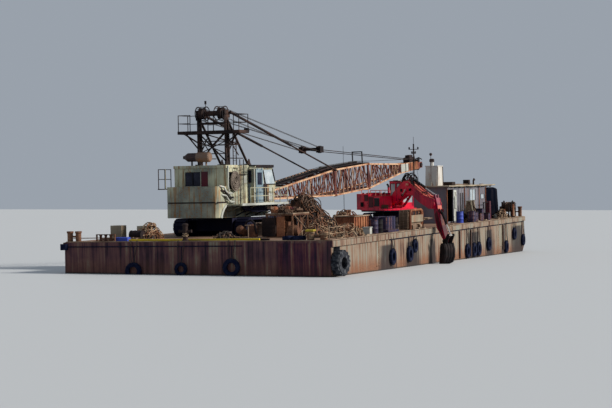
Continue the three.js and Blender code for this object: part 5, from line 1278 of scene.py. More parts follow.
def make_winches():
    for name, body, centre, heading, height, core in (
            ("winch_rope", "winch_reel", WINCH_AT, pi / 2, WINCH_HEIGHT, 0.23),
            ("windlass_rope", "windlass_reel", WINDLASS_AT, 0, WINDLASS_HEIGHT, 0.28)):
        rope = Shape(turned_place(centre, heading))
        for layer, (radius, turns) in enumerate(((core + 0.035, 9), (core + 0.09, 8), (core + 0.14, 5))):
            path = []
            for k in range(turns * 16 + 1):
                turn = 2 * pi * k / 16
                along = (-0.3 + 0.6 * k / (turns * 16)) * (1 if layer % 2 == 0 else -1) * (1 - 0.12 * layer)
                path.append((radius * cos(turn), along, height + radius * sin(turn)))
            rope.tube(path, 0.032, 6)
        rope.build(name, body, "dark", ["wire_rope"])

    half = 0.42
    for name, centre, heading, shaft, feet, top, flange, cheek in (
            ("winch_gear", WINCH_AT, pi / 2, WINCH_HEIGHT, -0.44, 1.62, 0.48, "cream_paint"),
            ("windlass_gear", WINDLASS_AT, 0, WINDLASS_HEIGHT, -0.3, 1.25, 0.56, "deck_steel")):
        gear = Shape(turned_place(centre, heading))
        for side in (-1, 1):
            y = side * (half + 0.06)
            gear.paint(0)
            for foot in (-flange, flange):
                gear.bar((foot, y + side * 0.03, 0.07), (0.14 if foot > 0 else -0.14, y + side * 0.03, top),
                    0.09)
            gear.turned([(0, 0), (0.14, 0), (0.14, 0.06), (0.08, 0.1), (0, 0.1)],
                (0, y + side * 0.002, shaft), (0, side, 0), 16)
            gear.box((-0.24, min(y, y + side * 0.1), top - 0.02), (0.24, max(y, y + side * 0.1), top + 0.07),
                0.02)
        gear.paint(1).turned([(0, 0), (0.22, 0), (0.22, 0.1), (0.1, 0.12), (0.1, 0.3), (0, 0.3)],
            (0.33, half + 0.36, 0.48), ACROSS, 16)
        gear.box((-0.44, feet, 0.071), (0.44, feet + 0.04, 0.2), 0.01)
        gear.tube([(0.25, -half - 0.16, 0.1), (0.28, -half - 0.18, 1.15)], 0.022, 6)
        gear.turned([(0, -0.04), (0.035, -0.02), (0.035, 0.02), (0, 0.04)], (0.28, -half - 0.18, 1.18), UP,
            10)
        gear.build(name, "pontoon", "gear", [cheek, "black_steel"])

    far = Shape()
    rng = random.Random(61)
    for u, v, h in ((50.4, 0.35, 0.95), (51.2, 0.9, 0.75), (51.9, 0.3, 1.15), (54.6, 0.25, 0.85),
            (54.75, 1.6, 1), (54.4, 3.2, 1.2), (54.7, 5.2, 1.1), (54.6, 8, 1.1)):
        far.paint(rng.choice((0, 1))).tube([(u, v, 0), (u, v, h)], 0.06, 8)
        far.disc(0.12, 0, 0.05, (u, v, 0), UP, 10)
    far.paint(0)
    for z in (0.5, 1):
        far.tube([(54.4, 3.2, z), (54.7, 5.2, z), (54.6, 8, z)], 0.025, 6)
    tangle(far, rng, (51.3, 1.2), (0.9, 0.7, 0.55), 40, (0.15, 0.4), 0.03, 0, None, (2, 3))
    tangle(far, rng, (49.2, 0.75), (1.1, 0.5, 0.4), 40, (0.12, 0.35), 0.028, 0, None, (2, 3))
    far.paint(4).turned([(0, 0), (0.15, 0), (0.17, 0.02), (0.17, 0.3), (0.12, 0.36), (0, 0.36)], (49, 1.2, 0),
        UP, 14)
    far.build("far_deck_gear", "pontoon", "gear", ["rusty_plate", "black_steel", "wire_rope", "fibre_rope",
        "white_paint"])

    pole = Shape()
    pole.turned([(0, 0), (0.14, 0), (0.14, 0.04), (0.06, 0.06), (0.05, 0.9), (0.022, 0.95), (0.014, 6.2),
        (0, 6.2)], (38.2, 11.2, 0), UP, 10)
    pole.build("whip_pole", "pontoon", "dark", ["black_steel"])

    mast = Shape()
    for x, y, z in ((36, 4.62, 5.47), (36, 4.88, 5.47), (36, 4.4, 5.8), (36, 5.1, 5.8)):
        mast.turned([(0, 0), (0.05, 0), (0.06, 0.03), (0.06, 0.12), (0.03, 0.15), (0, 0.15)], (x, y, z), UP,
            12)
    mast.tube([(36, 4.75, 6.2), (36, 4.75, 6.75)], 0.014, 6)
    for x, y in ((34.9, 4), (37.2, 5.3)):
        mast.tube([(36, 4.75, 5.6), (x, y, 2.91)], 0.01, 5)
    mast.build("mast_gear", "pontoon", "dark", ["black_steel"])


# The crawler crane

LATTICE = (0.5, 26)  # along the boom
BASE_END = 12.19
TAPER_START = 18.29


def lattice_half(s):
    """Half width and half depth of the lattice at a distance along the boom."""
    rise = min(1, (s - LATTICE[0]) / (BASE_END - LATTICE[0]))
    fall = max(0, (s - TAPER_START) / (LATTICE[1] - TAPER_START))
    return 0.95 - 0.6 * fall, 0.18 + 0.745 * rise - 0.555 * fall


@operator
class DREDGER_OT_boom_lacing(Operator):
    """Lace the boom's sides, top and bottom between its chords"""
    bl_idname = "dredger.boom_lacing"
    bl_label = "Boom Lacing"

    def execute(self, context):
        make_boom_lacing()
        return {"FINISHED"}


def make_boom_lacing():
    laces = Shape(boom)
    rng = random.Random(61)
    for kind, step in (("sides", 0.36), ("flats", 0.62)):
        count = int((LATTICE[1] - LATTICE[0]) / step)
        for k in range(count):
            ends = [LATTICE[0] + (k + n) * (LATTICE[1] - LATTICE[0]) / count for n in (0, 1)]
            (w0, d0), (w1, d1) = [lattice_half(s) for s in ends]
            turn = 1 if k % 2 else -1
            for side in (-1, 1):
                # Painted light: the right side's laces, which face the sun, mostly take the pale lace or
                # chord finish and the left side's mostly the dark boom paint; the bottom and top laces are
                # split the same way.
                laces.paint(rng.choice((0, 1, 1, 2)) if side < 0 else rng.choice((0, 0, 1)))
                if kind == "sides":
                    start, end = (ends[0], side * w0, turn * d0), (ends[1], side * w1, -turn * d1)
                else:
                    start, end = (ends[0], turn * w0, side * d0), (ends[1], -turn * w1, side * d1)
                laces.tube([start, end], 0.034 if kind == "sides" else 0.028, 6)
    laces.build("boom_laces", "crane_boom", "boom", ["boom_paint", "lace_paint", "chord_paint"])


@operator
class DREDGER_OT_boom_gear(Operator):
    """Lay the walkway and hoist ropes on the boom and dress its head"""
    bl_idname = "dredger.boom_gear"
    bl_label = "Boom Gear"

    def execute(self, context):
        make_boom_gear(context)
        return {"FINISHED"}


def make_boom_gear(context):
    walk = Shape(boom)
    stations = [1.6 + 0.55 * k for k in range(31)]
    for y in (-0.34, 0.34):
        walk.sweep([(s, y, lattice_half(s)[1] + 0.12) for s in stations], oblong(0.03, 0.05))
    for s in stations:
        t = lattice_half(s)[1] + 0.11
        walk.bar((s, -0.34, t), (s, 0.34, t), 0.14, 0.03)
        walk.bar((s + 0.27, -0.34, t + 0.015), (s + 0.27, 0.34, t + 0.015), 0.14, 0.03)
        walk.bar((s, -lattice_half(s)[0], t - 0.06), (s, lattice_half(s)[0], t - 0.06), 0.05)
    walk.paint(1)
    for s in (BASE_END, TAPER_START):
        w, d = lattice_half(s)
        for y in (-w, w):
            for t in (-d, d):
                walk.box((s - 0.16, y - 0.085, t - 0.085), (s + 0.16, y + 0.085, t + 0.085), 0.02)
                for along in (-0.1, 0.1):
                    walk.disc(0.03, -0.12, 0.12, (s + along, y, t), ACROSS, 6)
    walk.build("boom_walkway", "crane_boom", "dark", ["black_steel", "rusty_plate"])

    ropes = Shape(boom)
    radius = context.scene.dredger_rigging.rope_radius * 2
    for y, height in ((-0.22, 0.24), (-0.08, 0.26), (0.08, 0.23), (0.2, 0.27)):
        path = [(s, y, lattice_half(s)[1] + height - 0.0006 * (s - 9) ** 2 * 0.3) for s in stations]
        path += [(21.5, y * 0.8, 0.95), (26, y * 0.7, 0.72), (29.6, y * 0.6, 0.52), (30.3, y * 0.5, 0.45)]
        ropes.tube(path, radius, 6)
    for s in (6.4, 12.4, 17.6):
        t = lattice_half(s)[1]
        ropes.turned([(0.05, -0.36), (0.05, 0.36), (0.11, 0.36), (0.11, -0.36), (0.05, -0.36)],
            (s, 0, t + 0.13), ACROSS, 10)
    ropes.build("boom_hoist_ropes", "crane_boom", "dark", ["rigging"])

    head = Shape(boom)
    for side in (-1, 1):
        y = side * 0.385
        head.paint(0).prism(1, [(26.2, -0.3), (27.7, -0.28), (27.7, 0.3), (26.2, 0.33)], y - 0.012, y + 0.012)
        head.paint(2).prism(1, [(27.8, -0.28), (29.9, -0.3), (29.9, 0.36), (27.8, 0.3)], y - 0.016, y + 0.016)
        head.paint(1)
        for s in (26.1, 27.1, 28.1, 29.1):
            head.box((s, y - 0.03, -0.34), (s + 0.09, y + 0.03, 0.37))
        for s, t in ((30.48, 0), (29.9, 0.43)):
            head.turned([(0, -0.05), (0.17, -0.05), (0.19, -0.02), (0.19, 0.02), (0.17, 0.05), (0, 0.05)],
                (s, y + side * 0.03, t), ACROSS, 12)
    head.paint(1).boxes(((28.3, -0.3, 0.34), (29.5, 0.3, 0.74), 0.05),
        ((28.5, -0.2, 0.72), (29.2, 0.2, 0.92), 0.04))
    for y in (-0.33, 0.33):
        head.tube([(29.2, y, 0.5), (30.2, y, 0.62), (31, y * 0.8, 0.42)], 0.045, 6)
    head.build("boom_head_gear", "crane_boom", "boom", ["white_paint", "black_steel", "rusty_plate"])


@operator
class DREDGER_OT_crane_ropes(Operator):
    """Reeve the boom falls between the gantry and the spreader"""
    bl_idname = "dredger.crane_ropes"
    bl_label = "Crane Ropes"

    def execute(self, context):
        make_crane_ropes(context)
        return {"FINISHED"}


def make_crane_ropes(context):
    rigging = context.scene.dredger_rigging
    falls = Shape(crane)
    parts = rigging.fall_parts // 2
    for side in (-1, 1):
        for n in range(parts):
            y = side * (0.69 + (n - (parts - 1) / 2) * 0.065)
            up = 1 if n % 2 else -1
            falls.tube([(GANTRY_SHEAVE[0] + 0.06 * up, y, GANTRY_SHEAVE[1] + (0.37 if up > 0 else -0.45)),
                (SPREADER[0] - 0.05, y, SPREADER[1] + 0.13 * up)], rigging.rope_radius * 2, 6)
    piece = falls.build("boom_falls", "sheave_block", "dark", ["rigging"])
    start, end = crane(GANTRY_SHEAVE[0], 0, GANTRY_SHEAVE[1]), crane(SPREADER[0], 0, SPREADER[1])
    (end - start).normalized()
    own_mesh(piece)

    blocks = Shape(crane)
    for side in (-1, 1):
        y = side * 0.695
        for n in range(3):
            at = y + (n - 1) * 0.075
            blocks.turned([(0, -0.022), (0.27, -0.022), (0.24, 0), (0.27, 0.022), (0, 0.022)],
                (SPREADER[0], at, SPREADER[1]), ACROSS, 16)
        for offset in (-0.15, 0.15):
            blocks.box((11.83, y + offset - 0.015, 5.47), (12.42, y + offset + 0.015, 5.93), 0.01)
        blocks.tube([(12.42, y, 5.7), (12.62, y * 0.97, 5.66)], 0.06, 8)
    blocks.box((11.95, -0.52, 5.76), (12.25, 0.52, 5.83), 0.02)
    blocks.build("spreader_blocks", "pendant_set", "dark", ["black_steel"])


@operator
class DREDGER_OT_gantry(Operator):
    """Dress the gantry with its ladder, platform edges, guards and lamp"""
    bl_idname = "dredger.gantry"
    bl_label = "Gantry"

    def execute(self, context):
        make_gantry()
        return {"FINISHED"}


def make_gantry():
    gear = Shape(crane)
    rear, half = -2.6, 1
    x0, y0, x1, y1, floor = -3.25, -2.33, -1.95, 2.15, 6.7  # of its platform
    gear.boxes(((x0 - 0.02, y0 - 0.02, floor - 0.13), (x0 + 0.05, y1 + 0.02, floor + 0.07), 0.01),
        ((x1 - 0.05, y0 - 0.02, floor - 0.13), (x1 + 0.02, y1 + 0.02, floor + 0.07), 0.01))
    for y in (y0, y1):
        gear.box((x0, y - 0.02, floor - 0.13), (x1, y + 0.02, floor + 0.07), 0.01)
    for k in range(11):
        y = y0 + 0.25 + k * 0.41
        gear.box((x0 + 0.05, y, floor - 0.12), (x1 - 0.05, y + 0.06, floor - 0.005), 0.01)
    for side in (-1, 1):
        y = side * half
        gear.tube([(rear + 0.36, y, 4.56), (rear + 0.3, y, 7.45)], 0.1, 8)
        gear.bar((rear, y, 5), (-0.3, y, 5), 0.06)
        gear.bar((rear, y, 5.02), (-1.45, y, 6.3), 0.06)
        gear.bar((-0.9, y, 5.2), (rear, y, 6.62), 0.05)
        gear.bar((rear, y, 6), (rear, side * 2.05, 6.62), 0.08)
        for x, z in ((rear, 4.6), (0.36, 4.62)):
            gear.box((x - 0.14, y - 0.2, z - 0.05), (x + 0.14, y + 0.2, z + 0.02), 0.01)
            gear.prism(1, [(x - 0.26, z - 0.04), (x + 0.26, z - 0.04), (x + 0.07, z + 0.34),
                (x - 0.07, z + 0.34)], y - 0.1, y - 0.085)
    for z in (5.3, 6.1):
        gear.bar((rear, -half, z), (rear, half, z), 0.06)
    gear.bar((rear, -half, 5.3), (rear, half, 6.1), 0.05)
    gear.bar((rear, half, 5.3), (rear, -half, 6.1), 0.05)
    ladder(gear, (-1.72, -1.16, 4.53), (-1.72, -1.16, 6.66), ALONG, 0.42)
    ladder(gear, (rear - 0.15, 0, 6.76), (rear - 0.15, 0, 7.9), ACROSS, 0.4)
    gear.build("gantry_steel", "crane_upper", "dark", ["oily_steel"])

    guards = Shape(crane)
    for side in (-1, 1):
        for edge in (0.38, 0.99):
            y = side * edge
            guards.turned([(0.4, -0.012), (0.47, -0.012), (0.47, 0.012), (0.4, 0.012), (0.4, -0.012)],
                (GANTRY_SHEAVE[0], y, GANTRY_SHEAVE[1]), ACROSS, 20)
    for turn in range(6):
        x = GANTRY_SHEAVE[0] + 0.44 * cos(turn * pi / 3 + 0.3)
        z = GANTRY_SHEAVE[1] + 0.44 * sin(turn * pi / 3 + 0.3)
        for side in (-1, 1):
            guards.tube([(x, side * 0.37, z), (x, side * 0.93, z)], 0.02, 6)
    guards.build("sheave_guards", "sheave_block", "dark", ["black_steel"])

    lamps = Shape(crane)
    y = -2.2
    lamps.paint(1).tube([(x1 - 0.2, y + 0.15, floor), (x1 - 0.05, y, floor + 0.02)], 0.03, 6)
    lamps.box((x1 - 0.14, y - 0.17, floor - 0.06), (x1 + 0.07, y + 0.17, floor + 0.2), 0.05)
    # Pale lens: a painted reflection of the sky.
    lamps.paint(0).box((x1 + 0.07, y - 0.14, floor - 0.02), (x1 + 0.085, y + 0.14, floor + 0.16), 0.01)
    lamps.build("gantry_lamps", "crane_upper", "dark", ["sky_reflection_glass", "black_steel"])


def rib(start, foot, crest):
    """Outline of one rib of a ribbed wall, from its start along the wall, its foot and its crest."""
    return [(start, foot), (start + 0.03, crest), (start + 0.08, crest), (start + 0.11, foot)]


@operator
class DREDGER_OT_crane_house(Operator):
    """Fit ribs, panes, rims, pipes and the walkway edge to the crane's house"""
    bl_idname = "dredger.crane_house"
    bl_label = "Crane House"

    def execute(self, context):
        make_crane_house()
        return {"FINISHED"}


def make_crane_house():
    right, left, rear = -1.82, 1.93, -4.15
    ribs = Shape(crane)
    window = (-3.85, -2.6)
    for k in range(9):
        x = rear + 0.08 + k * 0.345
        by_window = window[0] - 0.1 < x < window[1] + 0.04
        for low, high in ((2.06, 2.92), (4.18, 4.36)) if by_window else ((2.06, 4.36),):
            ribs.prism(2, rib(x, right + 0.01, right - 0.03), low, high)
    for k in range(10):
        y = right + 0.08 + k * 0.37
        if y > left - 0.15:
            continue
        outline = [(a, b) for b, a in rib(y, rear + 0.01, rear - 0.03)]
        ribs.prism(2, outline, 4.2 if -0.62 < y < 1.2 else 3.22, 4.36)
    for k in range(14):
        x = rear + 0.1 + k * 0.36
        if -3.75 < x < -2.3 or -1.85 < x < -0.4:
            continue
        ribs.prism(2, rib(x, left - 0.01, left + 0.028), 2.06, 4.36)
    for y in (right - 0.035, left - 0.005):
        ribs.box((rear - 0.05, y, 4.36), (-1.18 if y < 0 else 0.92, y + 0.04, 4.54), 0.008)
    ribs.box((rear - 0.075, right - 0.03, 4.36), (rear - 0.035, left + 0.03, 4.54), 0.008)
    frame_around(ribs, 1, right, (-3.85, 3), (-2.6, 4.1), 0.06, -0.04)
    frame_around(ribs, 0, rear, (0.03, 3.23), (1.15, 4.13), 0.06, -0.04)
    ribs.paint(1).boxes(((-5.39, right - 0.03, 2.145), (-4.2, right + 0.02, 2.235), 0.015),
        ((-5.38, right + 0.16, 2.15), (-5.34, left - 0.19, 2.23), 0.01))
    ribs.build("house_ribs", "crane_upper", "crane", ["crane_paint", "oily_steel"])

    trim = Shape(crane)
    trim.box((rear - 0.03, -0.5, 3.2), (rear + 0.005, 0, 4.15), 0.012)
    trim.paint(1).boxes(((rear + 0.03, 0.02, 3.22), (rear + 0.05, 1.16, 4.14), 0.006),
        ((-3.86, right + 0.04, 2.99), (-2.59, right + 0.06, 4.11), 0.006))
    for x0, x1 in ((-3.6, -2.4), (-1.7, -0.5)):
        trim.box((x0 - 0.01, left - 0.06, 2.59), (x1 + 0.01, left - 0.04, 3.81), 0.006)
    trim.paint(2)
    for k in range(5):
        x = -3.72 + k * 0.25
        trim.bar((x, right + 0.02, 3), (x, right + 0.02, 4.1), 0.035)
    for z in (3.3, 3.7):
        trim.bar((-3.85, right + 0.02, z), (-2.6, right + 0.02, z), 0.03)
    trim.bar((rear + 0.015, 0.6, 3.23), (rear + 0.015, 0.6, 4.13), 0.05)
    ladder(trim, (-2.3, right - 0.14, 2.06), (-2.3, right - 0.14, 4.9), ALONG, 0.5)
    trim.tube([(-2.6, right - 0.12, 3.95), (-1.5, right - 0.12, 3.95)], 0.03, 6)
    trim.paint(3).box((-1.92, right - 0.03, 3.38), (-1.45, right + 0.01, 3.86), 0.015)
    trim.tube([(-4.05, right - 0.09, 4.5), (-4.08, right - 0.1, 3.2), (-3.95, right - 0.12, 2.7),
        (-3.7, right - 0.14, 2.4), (-3.6, right + 0.02, 2.36)], 0.045, 8)
    # Three pipes: the outer two white, the middle one black as painted shade in the gap between them.
    for lift, reach in ((3.05, 0), (2.78, 0.16), (2.5, 0.3)):
        trim.paint(3 if reach != 0.16 else 2).tube([(-5.06 + reach, right + 0.01, lift + 0.17),
            (-4.72 + reach, right - 0.13, lift + 0.1), (-4.5 + reach, right - 0.16, lift - 0.16),
            (-4.2 + reach, right - 0.17, lift - 0.3), (-3.7 + reach, right - 0.14, lift - 0.3),
            (-3.58 + reach, right + 0.02, lift - 0.3)], 0.065, 8)
    trim.build("house_trim", "crane_upper", "crane", ["red_panel", "glass", "black_steel", "white_paint"])

    coil = Shape(crane)
    rng = random.Random(67)
    for k in range(34):
        reach = 0.14 + 0.42 * ((k * 7) % 34) / 33
        middle = (-3.24 + rng.uniform(-0.05, 0.05), 3.5 + rng.uniform(-0.05, 0.03) + 0.3 * (0.56 - reach))
        phase = rng.uniform(0, 6.3)
        coil.tube([(middle[0] + reach * cos(a), right - 0.07 - 0.004 * k + 0.012 * sin(3 * a + phase),
            middle[1] + 1.12 * reach * sin(a)) for a in [pi * n / 9 for n in range(18)]], 0.035, 6, True)
    coil.paint(1).tube([(-3.24, right - 0.03, 4.36), (-3.24, right - 0.3, 4.33), (-3.24, right - 0.3, 4.24)],
        0.03, 6)
    coil.tube([(-3.24, right - 0.02, 4), (-3.24, right - 0.24, 4), (-3.24, right - 0.24, 4.28),
        (-3.24, right - 0.02, 4.32)], 0.02, 6)
    coil.build("hung_coil", "crane_upper", "crane", ["old_rope", "black_steel"])

    edge = Shape(crane)
    # Painted highlight: the white strips along the walkway's edges stand for its sunlit edge, and the white
    # arc for the sunlit side of the counterweight's lower slab.
    edge.boxes(((-4.1, -2.93, 1.95), (2.46, -2.895, 2.1), 0.01), ((2.43, -2.9, 1.95), (2.47, 1.9, 2.1), 0.01))
    arc = [(-5, 1.24), (-4.9, 1.5), (-4.68, 1.78), (-4.38, 2), (-4.1, 2.06)]
    edge.prism(1, arc + [(x + 0.2, z - 0.04) for x, z in arc[::-1]], right - 0.05, right + 0.06)
    edge.prism(1, [(-4.2, 2), (-4.1, 1.9), (-2.9, 1.9), (-2.9, 2.02)], right - 0.05, right + 0.02)
    edge.paint(1)
    for k in range(22):
        x = -2.85 + k * 0.24
        edge.box((x, -2.85, 2.035), (x + 0.13, -1.9, 2.05), 0.004)
    # Painted shade: the dark plate under the walkway stands for its shaded underside.
    edge.paint(2).prism(1, [(-2.9, 1.96), (2.3, 1.96), (2.1, 1.62), (-0.6, 1.5), (-2.4, 1.62)], -2.2, -2.12)
    for x in (-2.2, -0.9, 0.5, 1.7):
        edge.bar((x, -2.16, 1.62), (x, -1.46, 1.3), 0.07)
    edge.build("walkway_edge", "crane_upper", "crane", ["white_paint", "deck_steel", "track_steel"])

    # Dark plates round the crane's undercarriage: painted shade that fills the shadowed gap under the house.
    shade_skirt = Shape(crane)
    for y in (-1.66, 1.6):
        shade_skirt.box((-3.15, y, 0.12), (3.15, y + 0.06, 1.165), 0.02)
        for k in range(8):
            x = -2.8 + k * 0.8
            shade_skirt.box((x, y - 0.03, 0.2), (x + 0.08, y + 0.09, 1.1), 0.01)
    shade_skirt.box((-3, -1.6, 1.02), (3, 1.6, 1.1), 0.02)
    for x in (-2.3, 2.2):
        shade_skirt.box((x, -1.62, 0.3), (x + 0.08, 1.62, 1.1), 0.02)
    shade_skirt.build("undercarriage_shade_skirts", "pontoon", "dark", ["track_steel"])


@operator
class DREDGER_OT_crane_cab(Operator):
    """Glaze the crane's cab and fit its seat, console and roof"""
    bl_idname = "dredger.crane_cab"
    bl_label = "Crane Cab"

    def execute(self, context):
        make_crane_cab()
        return {"FINISHED"}


def make_crane_cab():
    panes = Shape(crane)
    side = [(0.14, 3.29), (1.765, 3.29), (1.795, 3.47), (1.435, 4.24), (0.14, 4.24)]
    # These panes are pale, a painted reflection of the sky; the rear pane further down is dark glass.
    panes.prism(1, side, -2.235, -2.22)
    panes.prism(1, side, -1.24, -1.225)
    panes.sweep([(1.46, -2.14, 4.3), (1.46, -1.32, 4.3)], [(0, 0), (0.01, 0), (0.01, 0.01), (0, 0.01)])
    panes.prism(1, [(1.8, 3.47), (1.815, 3.475), (1.47, 4.29), (1.455, 4.285)], -2.14, -1.32)
    panes.prism(1, [(1.69, 2.6), (1.705, 2.6), (1.815, 3.38), (1.8, 3.38)], -2.14, -1.32)
    panes.paint(1).box((-1.125, -2.06, 3.39), (-1.11, -1.4, 4.21), 0.004)
    panes.build("crane_cab_panes", "crane_upper", "crane", ["sky_reflection_glass", "glass"])

    inside = Shape(crane)
    inside.boxes(((-0.7, -2, 2.1), (-0.1, -1.45, 2.55), 0.06), ((-0.75, -2, 2.5), (-0.6, -1.45, 3.35), 0.05),
        ((0.9, -2.1, 2.1), (1.3, -1.4, 2.95), 0.04))
    for y in (-1.95, -1.75, -1.55):
        inside.tube([(0.95, y, 2.9), (0.75, y, 3.3)], 0.02, 6)
        inside.turned([(0, 0), (0.04, 0.02), (0.04, 0.06), (0, 0.09)], (0.75, y, 3.3), (-0.4, 0, 0.9), 8)
    inside.box((-1.05, -1.3, 2.1), (0.05, -1.27, 4.3), 0.01)
    inside.build("crane_cab_inside", "crane_upper", "dark", ["black_steel"])

    trim = Shape(crane)
    trim.box((-1.05, -2.345, 4.48), (1.5, -1.17, 4.545), 0.02)
    trim.prism(1, [(-0.98, 4.36), (1.42, 4.36), (1.5, 4.4), (1.48, 4.5), (-0.98, 4.5)], -2.345, -2.3)
    trim.prism(1, [(0.08, 4.2), (0.16, 4.2), (0.46, 3.3), (0.3, 3.3)], -2.275, -2.252)
    trim.prism(1, [(1.38, 4.3), (1.47, 4.3), (1.86, 3.45), (1.77, 3.45)], -2.275, -2.252)
    trim.boxes(((0.1, -2.29, 2.15), (0.62, -2.252, 3.26), 0.01),
        ((0.12, -2.275, 3.24), (1.82, -2.252, 3.31), 0.008))
    trim.paint(1).boxes(((0.75, -2.3, 2.15), (1.3, -2.252, 2.7), 0.02),
        ((0.86, -2.29, 2.8), (1.2, -2.252, 3.1), 0.03), ((-1.16, -2.256, 2.08), (-1.07, -2.2, 4.36), 0.01))
    # From here the blue-grey finish: a panel on the cab's rear, painted shade, and a grab handle.
    trim.paint(2).box((-1.155, -1.98, 2.2), (-1.142, -1.45, 3.32), 0.006)
    trim.tube([(-0.2, -2.33, 2.9), (-0.2, -2.36, 2.95), (-0.2, -2.36, 3.15), (-0.2, -2.33, 3.2)], 0.02, 6)
    trim.build("crane_cab_trim", "crane_upper", "crane", ["black_steel", "white_paint", "shade_blue_paint"])

    handle = Shape(crane)
    handle.box((-0.84, -2.303, 3.23), (-0.16, -2.296, 4.07), 0.002)
    # From here the blue-grey finish, painted shade: the handle, the door's lower panel and its rollers.
    handle.paint(1).tube([(-0.1, -2.31, 2.9), (-0.1, -2.35, 2.93), (-0.1, -2.35, 3.12), (-0.1, -2.31, 3.15)],
        0.018, 6)
    handle.box((-0.85, -2.315, 2.2), (-0.15, -2.305, 3), 0.004)
    for x in (-0.8, -0.2):
        handle.disc(0.06, -0.02, 0.02, (x, -2.325, 4.28), ACROSS, 12)
    handle.build("crane_door_fittings", "crane_leaf", "crane", ["glass", "shade_blue_paint"])


# The excavator

ARM_SIDE = -0.04  # middle of boom and stick
ARM_HALF = 0.28
STICK_HALF = 0.14
ARM_TOP = [(0, 1.98), (1.05, 2.75), (2.1, 3.3), (2.7, 3.33), (4.1, 2.64), (4.96, 2.27), (6, 2.06)]


def track_gear(shape, track_y, length, height, width, rollers):
    """Rollers and end wheels of one track."""
    radius = height * 0.2
    span = length - height
    for side in (-1, 1):
        y = track_y + side * (width / 2 - 0.06)
        for k in range(rollers):
            x = -span / 2 + span * (k + 0.5) / rollers
            shape.turned([(0, -0.05), (radius, -0.05), (radius, 0.02), (radius * 0.5, 0.04), (0, 0.04)],
                (x, y, 0.13 + radius), (0, side, 0), 12)
        for x in (-span / 2, span / 2):
            wheel = height / 2 - 0.14
            shape.turned([(0, -0.04), (wheel, -0.04), (wheel, 0.02), (wheel * 0.8, 0.03), (wheel * 0.45, 0),
                (wheel * 0.3, 0.06), (0, 0.06)], (x, y, height / 2), (0, side, 0), 18)
            for k in range(6):
                turn = k * pi / 3
                shape.disc(0.035, 0, 0.05, (x + wheel * 0.62 * cos(turn), y,
                    height / 2 + wheel * 0.62 * sin(turn)), (0, side, 0), 6)


@operator
class DREDGER_OT_track_gear(Operator):
    """Fit rollers, end wheels and guards to both machines' tracks"""
    bl_idname = "dredger.track_gear"
    bl_label = "Track Gear"

    def execute(self, context):
        make_track_gear()
        return {"FINISHED"}


def make_track_gear():
    for place, name, length, height, width, gauge, rollers in (
            (crane, "crane_track_gear", 6.4, 1.15, 0.85, 4.5, 9),
            (digger_base, "digger_track_gear", 4.7, 1.05, 0.6, 2.7, 7)):
        gear = Shape(place)
        for side in (-1, 1):
            track_gear(gear, side * gauge / 2, length, height, width, rollers)
            y = side * (gauge / 2 - width / 2 - 0.04)
            gear.box((-length / 2 + 0.7, y - 0.02, 0.16), (length / 2 - 0.7, y + 0.02, height - 0.03), 0.01)
        gear.build(name, "pontoon", "dark", ["track_steel"])

    belly = Shape(digger)
    belly.box((-2.25, -1.36, 1.12), (1.06, 1.36, 1.195), 0.02)
    for y in (-1.3, -0.6, 0.6, 1.3):
        belly.box((-2.2, y - 0.03, 1.09), (1, y + 0.03, 1.13), 0.01)
    belly.build("digger_belly", "digger_upper", "red", ["track_steel"])


@operator
class DREDGER_OT_digger_house(Operator):
    """Fit doors, louvres, grilles and rails to the excavator's house"""
    bl_idname = "dredger.digger_house"
    bl_label = "Excavator House"

    def execute(self, context):
        make_digger_house()
        return {"FINISHED"}


